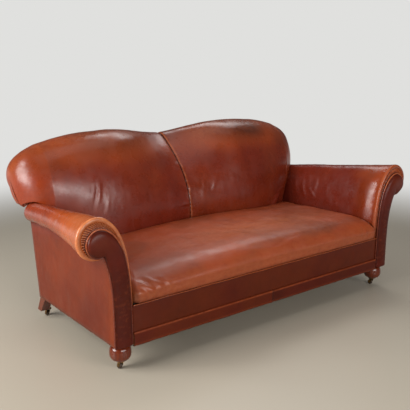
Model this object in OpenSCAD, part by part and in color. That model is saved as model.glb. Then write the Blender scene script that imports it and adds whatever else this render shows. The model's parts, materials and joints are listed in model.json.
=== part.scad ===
/* [Overall size] */
// Clear width of the seat between the inside faces of the arms
seat_w = 1426; // [1200:2:1800]
// Overall depth from the front of the arm pads to the rear of the back roll
depth = 976; // [968:1:990]
// Underside of the arms, side rails and outside panels above the floor
body_z = 110; // [107:1:116]

/* [Arms] */
// Thickness of an arm from its inside face to its outside panel
arm_t = 87; // [84:1:95]
// Height of the scroll top at the front
arm_top_z = 626; // [612:1:645]
// Height of the arm roll top where it meets the back
tail_top_z = 537; // [530:1:550]
// Radius of the arm roll at the front
scroll_r = 79; // [77:1:84]
// Radius of the arm roll at the back
tail_r = 43; // [41:1:48]
// How far the front scroll centre stands outside the outside panel
scroll_out = 56; // [53:1:60]
// How far the rear end of the roll is set inside the outside panel
tail_in = 13; // [8:1:17]
// Radius of the round head of the front pad
head_r = 52; // [49:1:55]
// Rise of the padded head in front of the arm
head_puff = 18; // [15:1:22]
// Rise of the lower part of the front pad
strip_puff = 10; // [7:1:14]
// Number of gathers in the band round the scroll
gathers = 18; // [12:1:24]

/* [Back] */
// How far the round ends of the back stand outside the inside faces of the arms
back_out = 134; // [128:1:140]
// Height of the back at the centre dip
dip_z = 772; // [760:1:785]
// Height of the back at the two humps
hump_z = 820; // [812:1:832]
// Height of the shoulder where the round ends begin
shoulder_z = 782; // [774:1:790]
// Radius of the back roll at the humps and ends
back_roll_r = 143; // [138:1:148]
// Radius of the back roll at the centre seam
seam_roll_r = 72; // [66:1:78]
// Distance from the front of the seat to the back at the centre seam
seat_depth = 640; // [634:1:648]
// Thickness of the upholstered back from its face at the centre seam to the rear of the roll
back_t = 336; // [330:1:342]
// Bulge of each back half in front of the seam
back_puff = 70; // [50:1:80]

/* [Seat] */
// Height of the front seam above the floor
seam_z = 268; // [262:1:280]
// Height of the seat crown at the middle
crown_z = 392; // [384:1:404]
// Height of the seat along the arms
seat_side_z = 362; // [352:1:370]
// Fall of the seat top from the front to the back
seat_fall = 24; // [18:1:30]
// How far the seat front bulges over the seam
nose = 9; // [5:1:12]

/* [Base and feet] */
// Height of the leather covered base strip
base_h = 57; // [50:1:60]
// Underside of the base strip above the floor
base_z = 100; // [96:1:104]
// Diameter of a bun foot
bun_d = 86; // [80:1:90]
// Height of the castor under a foot
castor_h = 34; // [32:1:38]
// Distance between the front and rear castors
wheel_base = 655; // [645:1:665]
// Diameter of a castor wheel
wheel_d = 23; // [21:1:24]
// Width of a castor wheel
wheel_w = 13; // [10:1:15]
// Offset of the wheel behind its swivel pin
trail = 9; // [7:1:11]

/* [Construction] */
// Thickness of the hide
hide_t = 3; // [2.5:0.5:3.5]
// Thickness of the padding over the arm roll
roll_pad_t = 15; // [12:1:17]
// Diameter of the piping
piping_d = 8; // [6:0.5:8.5]
// Depth of a beech back post
post_d = 45; // [42:1:48]
// Width of a beech back post
post_w = 40; // [36:1:42]
// Thickness of the beech rails
rail_t = 30; // [26:1:32]
// Seat springs along the sofa
spring_cols = 9; // [6:1:10]
// Seat springs from front to back
spring_rows = 3; // [2:1:3]

/* [Hidden] */

// Gap between pieces that lie on each other
lay = 0.3;
// Overrun of a cut past the face that it goes through
over = 1;

// Places along the depth, from the front of the sofa
front_y = -depth / 2;
rear_y = depth / 2;
pad_y = front_y + head_puff;
board_t = 20;
arm_y0 = pad_y + board_t + lay;
face_y = rear_y - back_t;
seat_front_y = face_y - seat_depth;
seat_y = seat_front_y + head_puff;
crease_back = 50;
crease_y = face_y + crease_back;
tail_run = 50;
arm_y1 = crease_y + tail_run;
castor_inset = 68;
castor_y = front_y + castor_inset;
foot_y = castor_y - trail;
rear_foot_y = foot_y + wheel_base;

// Places across the width
arm_x = seat_w / 2;
panel_x = arm_x + arm_t;
panel_t = 2.5;
post_x1 = panel_x - panel_t - lay;
post_x0 = post_x1 - post_w;
back_half_w = arm_x + back_out;
foot_in = 42;
foot_x = panel_x - foot_in;

// Rear edge of a back post: leg, knee and top
leg_d = 36;
leg_rear_y = rear_foot_y + leg_d / 2;
heel_in = 284;
heel_y = rear_y - heel_in;
knee_z = 440;
knee_back = 48;
knee_y = heel_y + knee_back;
post_top_z = 540;
back_rake_share = 0.58;
rake = atan(back_rake_share);
function post_rear(z) =
  z < knee_z ? heel_y + knee_back * (z - body_z) / (knee_z - body_z)
             : knee_y + back_rake_share * (z - knee_z);
function post_front(z) = post_rear(z) - post_d;

// Interpolation between a and b at the share t
function mix(a, b, t) = a + (b - a) * t;
// Point at the share t of a cubic curve
function curve(p, t) =
  pow(1 - t, 3) * p[0] + 3 * pow(1 - t, 2) * t * p[1] + 3 * (1 - t) * t * t * p[2]
  + pow(t, 3) * p[3];
// Point on a circle and the way along it, clockwise
function on_circle(c, r, a) = c + r * [cos(a), sin(a)];
function along(a) = [sin(a), -cos(a)];

// A curve that rises from p and runs on to a circle, then round it from a0 to a1
function roll_path(p, lift, c, r, a0, a1, sweep, rise_n, arc_n) =
  let (top = on_circle(c, r, a0), bend = [p, p + [0, lift], top - sweep * along(a0), top])
  concat([for (i = [0:rise_n]) curve(bend, i / rise_n)],
         [for (i = [1:arc_n]) on_circle(c, r, mix(a0, a1, i / arc_n))]);

// Faces of a grid with rows of n points, the second grid lying inside the first
function turned(faces) = [for (f = faces) [for (k = [len(f) - 1:-1:0]) f[k]]];
function quad(a, b, c, d) = [[a, b, c], [a, c, d]];
function grid_faces(rows, n, o) =
  [for (i = [0:rows - 2], j = [0:n - 2])
    each quad(o + i * n + j, o + i * n + j + 1, o + (i + 1) * n + j + 1, o + (i + 1) * n + j)];
function rim_faces(a, b) =
  [for (k = [0:len(a) - 2]) each quad(a[k], a[k + 1], b[k + 1], b[k])];

// Thick sheet between an outer and an inner grid of points
module sheet(outer, inner, flip = false) {
  rows = len(outer);
  n = len(outer[0]);
  o = rows * n;
  first = [for (j = [0:n - 1]) j];
  last = [for (j = [0:n - 1]) (rows - 1) * n + j];
  low = [for (i = [0:rows - 1]) i * n];
  high = [for (i = [0:rows - 1]) i * n + n - 1];
  function back(k) = [for (v = k) v + o];
  faces = concat(grid_faces(rows, n, 0), turned(grid_faces(rows, n, o)),
    turned(rim_faces(first, back(first))), rim_faces(last, back(last)),
    rim_faces(low, back(low)), turned(rim_faces(high, back(high))));
  points = concat([for (r = outer) each r], [for (r = inner) each r]);
  polyhedron(points, flip ? faces : turned(faces));
}

// The same sheet, drawn together to one point beyond its last row
module domed_sheet(outer, inner, tip, inner_tip, flip = false) {
  rows = len(outer);
  n = len(outer[0]);
  o = rows * n;
  t = 2 * o;
  first = [for (j = [0:n - 1]) j];
  low = concat([for (i = [0:rows - 1]) i * n], [t]);
  high = concat([for (i = [0:rows - 1]) i * n + n - 1], [t]);
  end = (rows - 1) * n;
  function back(k) = [for (v = k) v == t ? t + 1 : v + o];
  fan = [for (j = [0:n - 2]) [end + j, end + j + 1, t]];
  inner_fan = [for (j = [0:n - 2]) [o + end + j + 1, o + end + j, t + 1]];
  faces = concat(grid_faces(rows, n, 0), turned(grid_faces(rows, n, o)), fan, inner_fan,
    turned(rim_faces(first, back(first))), rim_faces(low, back(low)),
    turned(rim_faces(high, back(high))));
  points = concat([for (r = outer) each r], [for (r = inner) each r], [tip, inner_tip]);
  polyhedron(points, flip ? faces : turned(faces));
}

// Closed rings joined in order, with a flat face at each end
module loft(rings, flip = false) {
  rows = len(rings);
  n = len(rings[0]);
  sides = [for (i = [0:rows - 2], j = [0:n - 1])
    each quad(i * n + j, i * n + (j + 1) % n, (i + 1) * n + (j + 1) % n, (i + 1) * n + j)];
  near = [[for (j = [n - 1:-1:0]) j]];
  far = [[for (j = [0:n - 1]) (rows - 1) * n + j]];
  faces = concat(sides, near, far);
  polyhedron([for (r = rings) each r], flip ? faces : turned(faces));
}

module both_sides() {
  children();
  mirror([1, 0, 0]) children();
}

// Arm roll along the depth
front_rail_h = 55;
arm_foot_z = body_z + front_rail_h;
flare_share = 2.2;
arm_steps_share = [0, 0.07, 0.17, 0.3, 0.48, 0.72, 1];
arm_rise_n = 7;
arm_arc_n = 9;
arm_start_a = 125;
arm_rise_share = 0.62;
arm_sweep_share = 1.13;
end_gap = 1;
function roll_t(y) = max(0, (arm_y1 - y) / (arm_y1 - arm_y0));
function roll_r(y) = tail_r + (scroll_r - tail_r) * pow(roll_t(y), flare_share);
function roll_x(y) = panel_x - tail_in + (scroll_out + tail_in) * roll_t(y);
function roll_z(y) = mix(tail_top_z, arm_top_z, roll_t(y)) - roll_r(y);
function roll_c(y) = [roll_x(y), roll_z(y)];
function roll_end_a(y) = -acos((panel_x + end_gap - roll_x(y)) / roll_r(y));
function roll_end_z(y) = on_circle(roll_c(y), roll_r(y), roll_end_a(y))[1];
function arm_y(t) = mix(arm_y0, arm_y1, t);
function lift_y(y, path) = [for (p = path) [p[0], y, p[1]]];
// Section of the arm at y, drawn in by in_t on its inside face and by in_r on the roll
function arm_section(y, in_t, in_r) =
  let (c = roll_c(y), r = roll_r(y),
       lift = arm_rise_share * (on_circle(c, r, arm_start_a)[1] - arm_foot_z))
  roll_path([arm_x + in_t, arm_foot_z], lift, c, r - in_r, arm_start_a, roll_end_a(y),
            arm_sweep_share * r, arm_rise_n, arm_arc_n);
function arm_grid(in_t, in_r) =
  [for (s = arm_steps_share) lift_y(arm_y(s), arm_section(arm_y(s), in_t, in_r))];

pad_in = hide_t + lay;
arm_pad_t = post_x0 - arm_x - pad_in - 2 * lay;

// The room that the back takes out of the rear end of the arm, below the tail of the roll
tail_z = 440;
module back_notch() {
  translate([0, low_rail_y - lay, 0]) cube([post_x0, arm_y1 + over - low_rail_y, tail_z]);
}

module inside_arm() {
  color("sienna") difference() {
    sheet(arm_grid(0, 0), arm_grid(hide_t, hide_t));
    back_notch();
  }
}

module arm_stuffing() {
  y1 = post_front(roll_z(arm_y1) - tail_r) - lay;
  color("wheat") difference() {
    sheet(arm_grid(pad_in, pad_in), arm_grid(pad_in + arm_pad_t, pad_in + roll_pad_t));
    back_notch();
    translate([0, y1, 0]) cube([panel_x + scroll_r, arm_y1 + over - y1, arm_top_z]);
  }
}

// Front pad outline: inner edge, round head and outer edge
pad_in_x = 14;
head_out = 50;
head_drop = 95;
head_c = [panel_x + head_out, arm_top_z - head_drop];
head_start_a = 118;
head_end_a = -105;
head_sweep_share = 1.7;
pad_rise_share = 0.6;
pad_arc_n = 10;
neck_n = 7;
neck_lift_share = [0.59, 0.74];
// Corner where the head turns into the outer edge, moved out by out_t
head_end = on_circle(head_c, head_r, head_end_a);
function unit(v) = v / norm(v);
neck_foot = [panel_x, body_z];
neck_rise = head_end[1] - body_z;
neck_way = unit(head_end - neck_foot - [0, neck_lift_share[1] * neck_rise]);
neck_normal = [neck_way[1], -neck_way[0]];
head_normal = [cos(head_end_a), sin(head_end_a)];
function neck_top(out_t) =
  head_end + out_t * (neck_normal + head_normal) / (1 + neck_normal * head_normal);
// Edge up the inside and round the head, moved out by out_t
function pad_edge(out_t, arc_n) =
  let (r = head_r + out_t, end = neck_top(out_t) - head_c,
       lift = pad_rise_share * (on_circle(head_c, r, head_start_a)[1] - arm_foot_z))
  roll_path([arm_x + pad_in_x - out_t, arm_foot_z], lift, head_c, r, head_start_a,
            atan2(end[1], end[0]), head_sweep_share * r, arm_rise_n, arc_n);
// Outer edge from the foot to the head at the share t, moved out by out_t
function neck_point(out_t, t) =
  let (foot = neck_foot + [out_t, 0])
  curve([foot, foot + [0, neck_lift_share[0] * neck_rise],
         foot + [0, neck_lift_share[1] * neck_rise], neck_top(out_t)], t);
function neck_edge(out_t) = [for (i = [neck_n:-1:0]) neck_point(out_t, i / neck_n)];

board_in = 3;
module arm_front_board() {
  edge = concat([[arm_x + pad_in_x + board_in, body_z]], pad_edge(-board_in, pad_arc_n),
    [for (i = [1:neck_n]) neck_edge(-board_in)[i]]);
  color("burlywood")
    translate([0, pad_y + board_t, 0]) rotate([90, 0, 0]) linear_extrude(board_t) polygon(edge);
}

// Puffed section between the two edges of the front pad
pad_bulge_share = [[0, 0], [0.06, 0.5], [0.22, 0.88], [0.5, 1], [0.78, 0.88], [0.94, 0.5], [1, 0]];
function pad_ring(a, b, puff) =
  [for (s = pad_bulge_share) let (p = mix(a, b, s[0])) [p[0], pad_y - puff * s[1], p[1]]];
head_steps = 6;
head_tip_a = -7;
module front_pad() {
  inner = pad_edge(0, pad_arc_n);
  foot = [pad_ring([arm_x + pad_in_x, body_z], neck_foot, strip_puff)];
  strip = [for (i = [0:arm_rise_n])
    pad_ring(inner[i], neck_point(0, (i + 1) / (arm_rise_n + 1)),
             mix(strip_puff, head_puff, pow(i / arm_rise_n, 2)))];
  head = [for (k = [1:head_steps - 1]) let (s = k / head_steps)
    pad_ring(on_circle(head_c, head_r, mix(head_start_a, head_tip_a, s)),
             on_circle(head_c, head_r, mix(head_end_a, head_tip_a, s)),
             head_puff * sqrt(1 - pow(s, 4)))];
  color("saddlebrown") loft(concat(foot, strip, head));
}

// Piping round the front pad: a tube along the edge
piping_n = 6;
piping_r = piping_d / 2;
piping_out = 1.5;
function ring_round(p, dir, r, n) =
  [for (k = [0:n - 1]) let (a = 360 * k / n)
    p + r * cos(a) * [dir[1], 0, -dir[0]] + r * sin(a) * [0, 1, 0]];
module pad_piping() {
  path = concat([[arm_x + pad_in_x - piping_out, body_z]], pad_edge(piping_out, pad_arc_n),
    [for (i = [1:neck_n]) neck_edge(piping_out)[i]]);
  y = pad_y + piping_r + lay;
  rings = [for (i = [0:len(path) - 1])
    let (a = path[max(i - 1, 0)], b = path[min(i + 1, len(path) - 1)])
    ring_round([path[i][0], y, path[i][1]], unit(b - a), piping_r, piping_n)];
  color("maroon") loft(rings);
}

// Gathered band from the piping back to the front edge of the inside arm
gather_d = 2.2;
band_arc_n = 2 * gathers;
band_out = piping_out + piping_r + 1;
band_mid_share = 0.72;
band_end_a = -100;
band_y_share = [0.24, 0.42, 1];
function arm_front_path(in_r) =
  roll_path([arm_x + in_r, arm_foot_z],
    arm_rise_share * (on_circle(roll_c(arm_y0), scroll_r, arm_start_a)[1] - arm_foot_z),
    roll_c(arm_y0), scroll_r - in_r, arm_start_a, band_end_a,
    arm_sweep_share * scroll_r, arm_rise_n, band_arc_n);
function pleat(i) = i <= arm_rise_n ? 0 : gather_d * (i % 2);
module gathered_band() {
  near = pad_edge(band_out, band_arc_n);
  far = arm_front_path(0);
  far_in = arm_front_path(hide_t);
  mid = [for (i = [0:len(far) - 1]) mix(near[i], far[i], band_mid_share)];
  y = [for (s = band_y_share) mix(pad_y, arm_y0 - lay, s)];
  outer = [for (i = [0:len(far) - 1])
    [[near[i][0], y[0], near[i][1]], [mid[i][0], y[1] + pleat(i), mid[i][1]],
     [far[i][0], y[2], far[i][1]]]];
  inner = [for (i = [0:len(far) - 1]) let (m = mix(near[i], far_in[i], band_mid_share))
    [[near[i][0], y[0] + hide_t, near[i][1]], [m[0], y[1] + hide_t + pleat(i), m[1]],
     [far_in[i][0], y[2], far_in[i][1]]]];
  color("sienna") sheet(outer, inner, true);
}

// Outside arm: a flat panel below the roll, with a raked rear edge
panel_front = 9;
neck_z = 215;
roll_clear = 2;
module outside_arm() {
  top = [for (s = arm_steps_share) let (y = arm_y(s)) [y, roll_end_z(y) - roll_clear]];
  edge = concat([[pad_y + panel_front, body_z], [pad_y + panel_front, neck_z],
      [pad_y + board_t + lay, neck_z + board_t]], [top[0] - [arm_y0 - pad_y - board_t - lay, 0]],
    top, [[post_rear(roll_end_z(arm_y1) - roll_clear) + panel_t, roll_end_z(arm_y1) - roll_clear],
      [knee_y + panel_t, knee_z], [post_rear(body_z) + panel_t, body_z]]);
  color("sienna") translate([panel_x - panel_t, 0, 0]) rotate([90, 0, 90])
    linear_extrude(panel_t) polygon(edge);
}

// Rails of the arm
arm_rail_r = 18;
rail_run_share = 0.25;
module arm_top_rail() {
  ya = pad_y + board_t;
  yb = post_front(roll_z(arm_y1) - arm_rail_r) - lay;
  a = [roll_x(arm_y0), arm_y0, roll_z(arm_y0)];
  b = [roll_x(arm_y1), arm_y1, roll_z(arm_y1)];
  run = norm(b - a);
  turn = atan2(a[0] - b[0], b[1] - a[1]);
  dip = asin((a[2] - b[2]) / run);
  color("burlywood") intersection() {
    translate(a) rotate([0, 0, turn]) rotate([-90 - dip, 0, 0])
      translate([0, 0, -rail_run_share * run])
        cylinder(h = (1 + 2 * rail_run_share) * run, r = arm_rail_r, $fn = 48);
    translate([0, ya, 0]) cube([panel_x + scroll_r, yb - ya, arm_top_z]);
  }
}

tack_z = 235;
tack_h = 30;
tack_t = 20;
module arm_tacking_rail() {
  ya = pad_y + board_t;
  color("burlywood") translate([post_x0 + lay, ya, tack_z])
    cube([tack_t, post_front(tack_z) - lay - ya, tack_h]);
}

// Seat frame
rail_h = 50;
front_rail_in = 10;
front_rail_y = seat_y + front_rail_in;
front_rail_z = body_z;
front_rail_top = arm_foot_z - hide_t;
board_x0 = arm_x + pad_in_x + board_in;
module front_seat_rail() {
  color("burlywood") translate([-board_x0 + lay, front_rail_y, front_rail_z])
    cube([2 * (board_x0 - lay), rail_t, front_rail_top - front_rail_z]);
}

rail_back = 4;
rear_rail_y = post_front(body_z) + rail_back;
module rear_seat_rail() {
  color("burlywood") translate([-post_x0 + lay, rear_rail_y, body_z])
    cube([2 * (post_x0 - lay), rail_t, rail_h]);
}

module side_seat_rail() {
  ya = pad_y + board_t;
  color("burlywood") translate([post_x0, ya, body_z])
    cube([rail_t, post_front(body_z) - lay - ya, rail_h]);
}

block_w = 44;
module corner_blocks() {
  y0 = front_rail_y + rail_t + lay;
  y1 = rear_rail_y - lay;
  color("tan") both_sides() {
    translate([0, 0, body_z]) linear_extrude(rail_h - over)
      polygon([[post_x0 - lay, y0], [post_x0 - lay, y0 + block_w], [post_x0 - block_w, y0]]);
    translate([0, 0, body_z]) linear_extrude(rail_h - over)
      polygon([[post_x0 - lay, y1], [post_x0 - lay, y1 - block_w], [post_x0 - block_w, y1]]);
  }
}

// Back frame
module back_post() {
  side = [[rear_foot_y - leg_d / 2, castor_h + socket_t], [leg_rear_y, castor_h + socket_t],
    [heel_y, body_z], [knee_y, knee_z], [post_rear(post_top_z), post_top_z],
    [post_front(post_top_z), post_top_z], [post_front(knee_z), knee_z],
    [post_front(body_z), body_z]];
  color("saddlebrown") difference() {
    translate([post_x0, 0, 0]) rotate([90, 0, 90]) linear_extrude(post_w) polygon(side);
    translate([foot_x, rear_foot_y, 0]) pin_bore();
  }
}

low_rail_z = 255;
low_rail_h = 43;
low_rail_t = 25;
low_rail_y = post_rear(low_rail_z) - low_rail_t;
module lower_back_rail() {
  color("burlywood") translate([-post_x0 + lay, low_rail_y, low_rail_z])
    cube([2 * (post_x0 - lay), low_rail_t, low_rail_h]);
}

back_board_t = 25;
top_rail_in = 12;
top_rail_y = post_front(post_top_z) + top_rail_in;
top_rail_z = post_top_z + lay;
top_pad_t = 100;
rail_end_share = 1.5;
rail_end_in = 17;
rail_x1 = post_x1 - rail_end_in;
module back_top_rail() {
  crest = [for (u = half_steps) [u, crest_z(u) - top_pad_t]];
  flip = [for (i = [len(crest) - 1:-1:1]) [-crest[i][0], crest[i][1]]];
  end_z = crest_z(arm_x) - rail_end_share * top_pad_t;
  color("burlywood") translate([0, top_rail_y + back_board_t, 0]) rotate([90, 0, 0])
    linear_extrude(back_board_t)
      polygon(concat([[-rail_x1, top_rail_z], [-rail_x1, end_z]], flip, crest,
        [[rail_x1, end_z], [rail_x1, top_rail_z]]));
}

// Strip along the rear line of the posts, from z0 to z1, t thick and d in front of the line
function rear_strip(d, t, z0, z1) =
  [[post_rear(z0) - d, z0], [knee_y - d, knee_z], [post_rear(z1) - d, z1],
   [post_rear(z1) - d - t, z1], [knee_y - d - t, knee_z], [post_rear(z0) - d - t, z0]];
module strip_x(x0, x1, profile) {
  translate([x0, 0, 0]) rotate([90, 0, 90]) linear_extrude(x1 - x0) polygon(profile);
}

upright_w = 50;
upright_t = 19;
low_rail_top = low_rail_z + low_rail_h;
module back_centre_upright() {
  color("burlywood") strip_x(-upright_w / 2, upright_w / 2,
    rear_strip(0, upright_t, low_rail_top + lay, top_rail_z - lay));
}

strap_w = 50;
strap_t = 2;
back_straps = 11;
web_d = upright_t + lay;
hessian_t = 1;
back_step = 2 * arm_x / (back_straps + 1);
module back_webbing() {
  color("tan") for (i = [1:back_straps]) let (x = -arm_x + i * back_step)
    strip_x(x - strap_w / 2, x + strap_w / 2,
      rear_strip(web_d, strap_t, low_rail_top + lay, top_rail_z - lay));
}

module back_hessian() {
  color("khaki") strip_x(-half_x1, half_x1,
    rear_strip(web_d + strap_t + lay, hessian_t, low_rail_top + lay, top_rail_z - lay));
}
back_line = web_d + strap_t + hessian_t + 2 * lay;

// Upholstered back: heights and depths across one half
back_foot_z = low_rail_top + lay;
half_steps_share = [0, 0.09, 0.22, 0.38, 0.55, 0.71, 0.85, 0.95, 1];
half_gap = 0.5;
half_x1 = arm_x - half_gap;
half_x0 = 0.2;
half_steps = [for (s = half_steps_share) mix(half_x0, half_x1, s)];
hump_x_share = 0.53;
hump_x = hump_x_share * arm_x;
cap_x = back_half_w - back_roll_r;
// How full the back is, from the seam to the hump
function fullness(u) = u < hump_x ? (1 - cos(180 * u / hump_x)) / 2 : 1;
round_share = 0.45;
// Middle height of the round end, which the crest runs down to
lobe_z = 644;
fall_power = 2.16;
function fall(u) = pow((u - hump_x) / (back_half_w - hump_x), fall_power);
fall_share = ln((shoulder_z - lobe_z) / (hump_z - lobe_z)) / ln(1 - fall(cap_x));
function crest_z(u) =
  u < hump_x ? mix(dip_z, hump_z, mix(fullness(u), sin(90 * u / hump_x), round_share))
             : mix(lobe_z, hump_z, pow(1 - fall(u), fall_share));
function back_r(u) = mix(seam_roll_r, back_roll_r, fullness(u));
function back_c(u) = [rear_y - back_r(u), crest_z(u) - back_r(u)];
puff_share = 1.5;
function back_front(u) =
  mix(face_y, crease_y, min(u / arm_x, 1))
  - back_puff * sin(180 * pow(min(u / arm_x, 1), puff_share));
// The section is flat and drawn in at the seam, and full at the hump
back_start_a = [125, 150];
back_sweep_share = [0.62, 0.48];
back_lift_share = [0.32, 0.36];
belly = [46, 8];
function at_u(pair, u) = mix(pair[0], pair[1], fullness(u));
// Angle at which the roll comes back to the outside back, and its foot there
shell_gap = panel_t + 2 * lay + hide_t;
roll_foot_z = 541;
function back_end_a(c, r) =
  let (h = (c - [knee_y + shell_gap, knee_z]) * [cos(rake), -sin(rake)])
  -rake - acos(-h / r);
// Height at which the section ends on the outside back
function roll_foot(u) =
  let (c = back_c(u), r = back_r(u)) min(roll_foot_z, on_circle(c, r, back_end_a(c, r))[1] - over);
// Section of the back at u with its foot at z, drawn in by d
back_rise_n = 7;
back_arc_n = 9;
function back_section(u, foot_z, d) =
  let (c = back_c(u), r = back_r(u), a = at_u(back_start_a, u), start = on_circle(c, r - d, a),
       top = on_circle(c, r, a)[1] - foot_z, p = [back_front(u) + d, foot_z],
       bend = [p, p + [-at_u(belly, u), at_u(back_lift_share, u) * top],
               start - at_u(back_sweep_share, u) * top * along(a), start])
  concat([for (i = [0:back_rise_n]) curve(bend, i / back_rise_n)],
    [for (i = [1:back_arc_n]) on_circle(c, r - d, mix(a, back_end_a(c, r), i / back_arc_n))],
    [[post_rear(roll_foot(u)) + shell_gap - d, roll_foot(u)]]);
// Round end of the back, above and behind the arm
lobe_foot_z = 436;
lobe_back = 26;
lobe_full_share = 0.72;
lobe_k = [rear_y - back_roll_r + lobe_back, lobe_z];
lobe_steps_a = [0, 8, 14, 22, 34, 50, 66];
wall_step = 0.05;
arm_clear = [6, 10];
function lobe_x(a, d) = a == 0 ? half_x1 + wall_step - d : cap_x + (back_roll_r - d) * sin(a);
// Top of the arm at x where the back meets it
tail_section = [for (p = arm_section(crease_y, 0, 0)) if (p[0] < roll_x(crease_y)) p];
function arm_top(x) = lookup(x, tail_section);
// How far the section is drawn in about its middle where the round end stands at x
function lobe_share(x) = (crest_z(x) - lobe_z) / (crest_z(half_x1) - lobe_z);
// Foot of the round end at the angle a, before the section is drawn in
function lobe_foot(a, clear) =
  let (x = lobe_x(a, 0), drop = (lobe_z - lobe_foot_z) * pow(lobe_share(x), lobe_full_share))
  lobe_z - (lobe_z - clear - max(arm_top(x), lobe_z - drop)) / lobe_share(x);
function lobe_section(a, d, ring) =
  let (k = lobe_share(lobe_x(a, 0)))
  [for (p = ring) let (q = lobe_k + (p - lobe_k) * k) [lobe_x(a, d), q[0], q[1]]];
function put_x(x, path) = [for (p = path) [x, p[0], p[1]]];
function back_grid(d) =
  concat([for (u = half_steps) put_x(u - (u == half_x1 ? d : 0), back_section(u, back_foot_z, d))],
    [for (a = lobe_steps_a)
      lobe_section(a, d, back_section(half_x1, lobe_foot(a, arm_clear[0] + d), d))]);

module inside_back() {
  color("sienna") domed_sheet(back_grid(0), back_grid(hide_t),
    [back_half_w, lobe_k[0], lobe_k[1]], [back_half_w - hide_t, lobe_k[0], lobe_k[1]], true);
}

// Stuffing: the same section closed round the top rail and along the hessian
rail_gap = 3;
lobe_rail_gap = 38;
stuffing_in = pad_in + 2 * lay;
function stuffing_ring(u, foot_z, front_line, gap, short) =
  let (face = back_section(u, foot_z, stuffing_in), n = len(face),
       top = crest_z(u) - top_pad_t + gap, y1 = top_rail_y + back_board_t + rail_gap,
       y0 = top_rail_y - gap, low = top_rail_z + rail_gap,
       tail = [post_rear(low) + lay, low], slot_z = max(top_rail_z, foot_z + rail_gap))
  concat([for (i = [0:n - 3]) face[i]],
    [mix(face[n - 2], (face[n - 3] + tail) / 2, short), tail, [y1, low + 2 * rail_gap], [y1, top],
     [y0, top], [y0, slot_z],
     [post_rear(slot_z) - front_line, slot_z - over],
     [post_rear(max(knee_z, foot_z)) - front_line, max(knee_z, foot_z + over)],
     [post_rear(foot_z) - front_line, foot_z]]);
lobe_clear = 16;
lobe_line = post_d + lobe_clear;
module back_stuffing() {
  color("wheat") {
    loft([for (u = half_steps)
      put_x(u - (u == half_x1 ? stuffing_in : 0),
        stuffing_ring(u, back_foot_z, back_line + lay, rail_gap, 0))], true);
    loft([for (a = lobe_steps_a) let (foot_z = lobe_foot(a, arm_clear[1] + stuffing_in))
      lobe_section(a, stuffing_in - (a == 0 ? lay : 0),
        stuffing_ring(half_x1, foot_z, lobe_line, lobe_rail_gap, 1))], true);
  }
}

shell_drop = 5;
shell_steps = concat(half_steps, [for (a = lobe_steps_a) if (lobe_x(a, 0) < post_x1) lobe_x(a, 0)],
  [post_x1]);
function shell_top(x) =
  x < half_x1 ? roll_foot(x) - shell_drop
              : lobe_z - shell_drop - (lobe_z - roll_foot(half_x1)) * lobe_share(x);
module outside_back() {
  right = [for (x = shell_steps) [x, shell_top(x)]];
  left = [for (p = right) [-p[0], p[1]]];
  color("sienna") intersection() {
    strip_x(-post_x1, post_x1, rear_strip(-panel_t - lay, panel_t, body_z, roll_foot_z));
    translate([0, rear_y, 0]) rotate([90, 0, 0]) linear_extrude(depth)
      polygon(concat([[-post_x1, 0]], [for (i = [len(left) - 1:-1:0]) left[i]],
        right, [[post_x1, 0]]));
  }
}

// Suspension of the seat
web_up = 6;
web_z = body_z + web_up;
web_in = 62;
long_straps = 5;
web_y0 = front_rail_y + rail_t + lay;
web_y1 = rear_rail_y - lay;
spring_pitch_x = 2 * (post_x0 - web_in) / spring_cols;
spring_pitch_y = (web_y1 - web_y0) / spring_rows;
module seat_webbing() {
  color("tan") {
    for (i = [0:spring_cols - 1])
      translate([-post_x0 + web_in + (i + 0.5) * spring_pitch_x - strap_w / 2, web_y0, web_z])
        cube([strap_w, web_y1 - web_y0, strap_t]);
    for (i = [0:spring_rows - 1])
      translate([-post_x0 + lay, web_y0 + (i + 0.5) * spring_pitch_y - strap_w / 2,
          web_z + strap_t])
        cube([2 * (post_x0 - lay), strap_w, strap_t]);
  }
}

spring_r = 38;
spring_waist_r = 27;
wire_t = 1.5;
spring_n = 6;
hessian_drop = 8;
hessian_z = seam_z - hessian_drop;
spring_z = web_z + 2 * strap_t + lay;
module seat_spring() {
  h = hessian_z - lay - spring_z;
  outer = [for (i = [0:spring_n]) let (s = 2 * i / spring_n - 1)
    [mix(spring_waist_r, spring_r, s * s), h * i / spring_n]];
  inner = [for (i = [spring_n:-1:0]) outer[i] - [wire_t, 0]];
  rotate_extrude($fn = 36) polygon(concat(outer, inner));
}
module seat_springs() {
  color("dimgray") for (i = [0:spring_cols - 1], j = [0:spring_rows - 1])
    translate([-post_x0 + web_in + (i + 0.5) * spring_pitch_x,
      web_y0 + (j + 0.5) * spring_pitch_y, spring_z]) seat_spring();
}

// Upholstered seat
border_tuck = 5;
seat_steps = concat([for (i = [len(half_steps) - 1:-1:1]) -half_steps[i]], [0],
  [for (i = [1:len(half_steps) - 1]) half_steps[i]]);
seat_gap = 1.5;
belly_share = 0.5;
function seat_back_y(x) = back_front(abs(x)) - belly_share * at_u(belly, abs(x)) - seat_gap;
crown_share = 2.4;
function seat_top(x) = mix(crown_z, seat_side_z, pow(min(abs(x) / arm_x, 1), crown_share));
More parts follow.
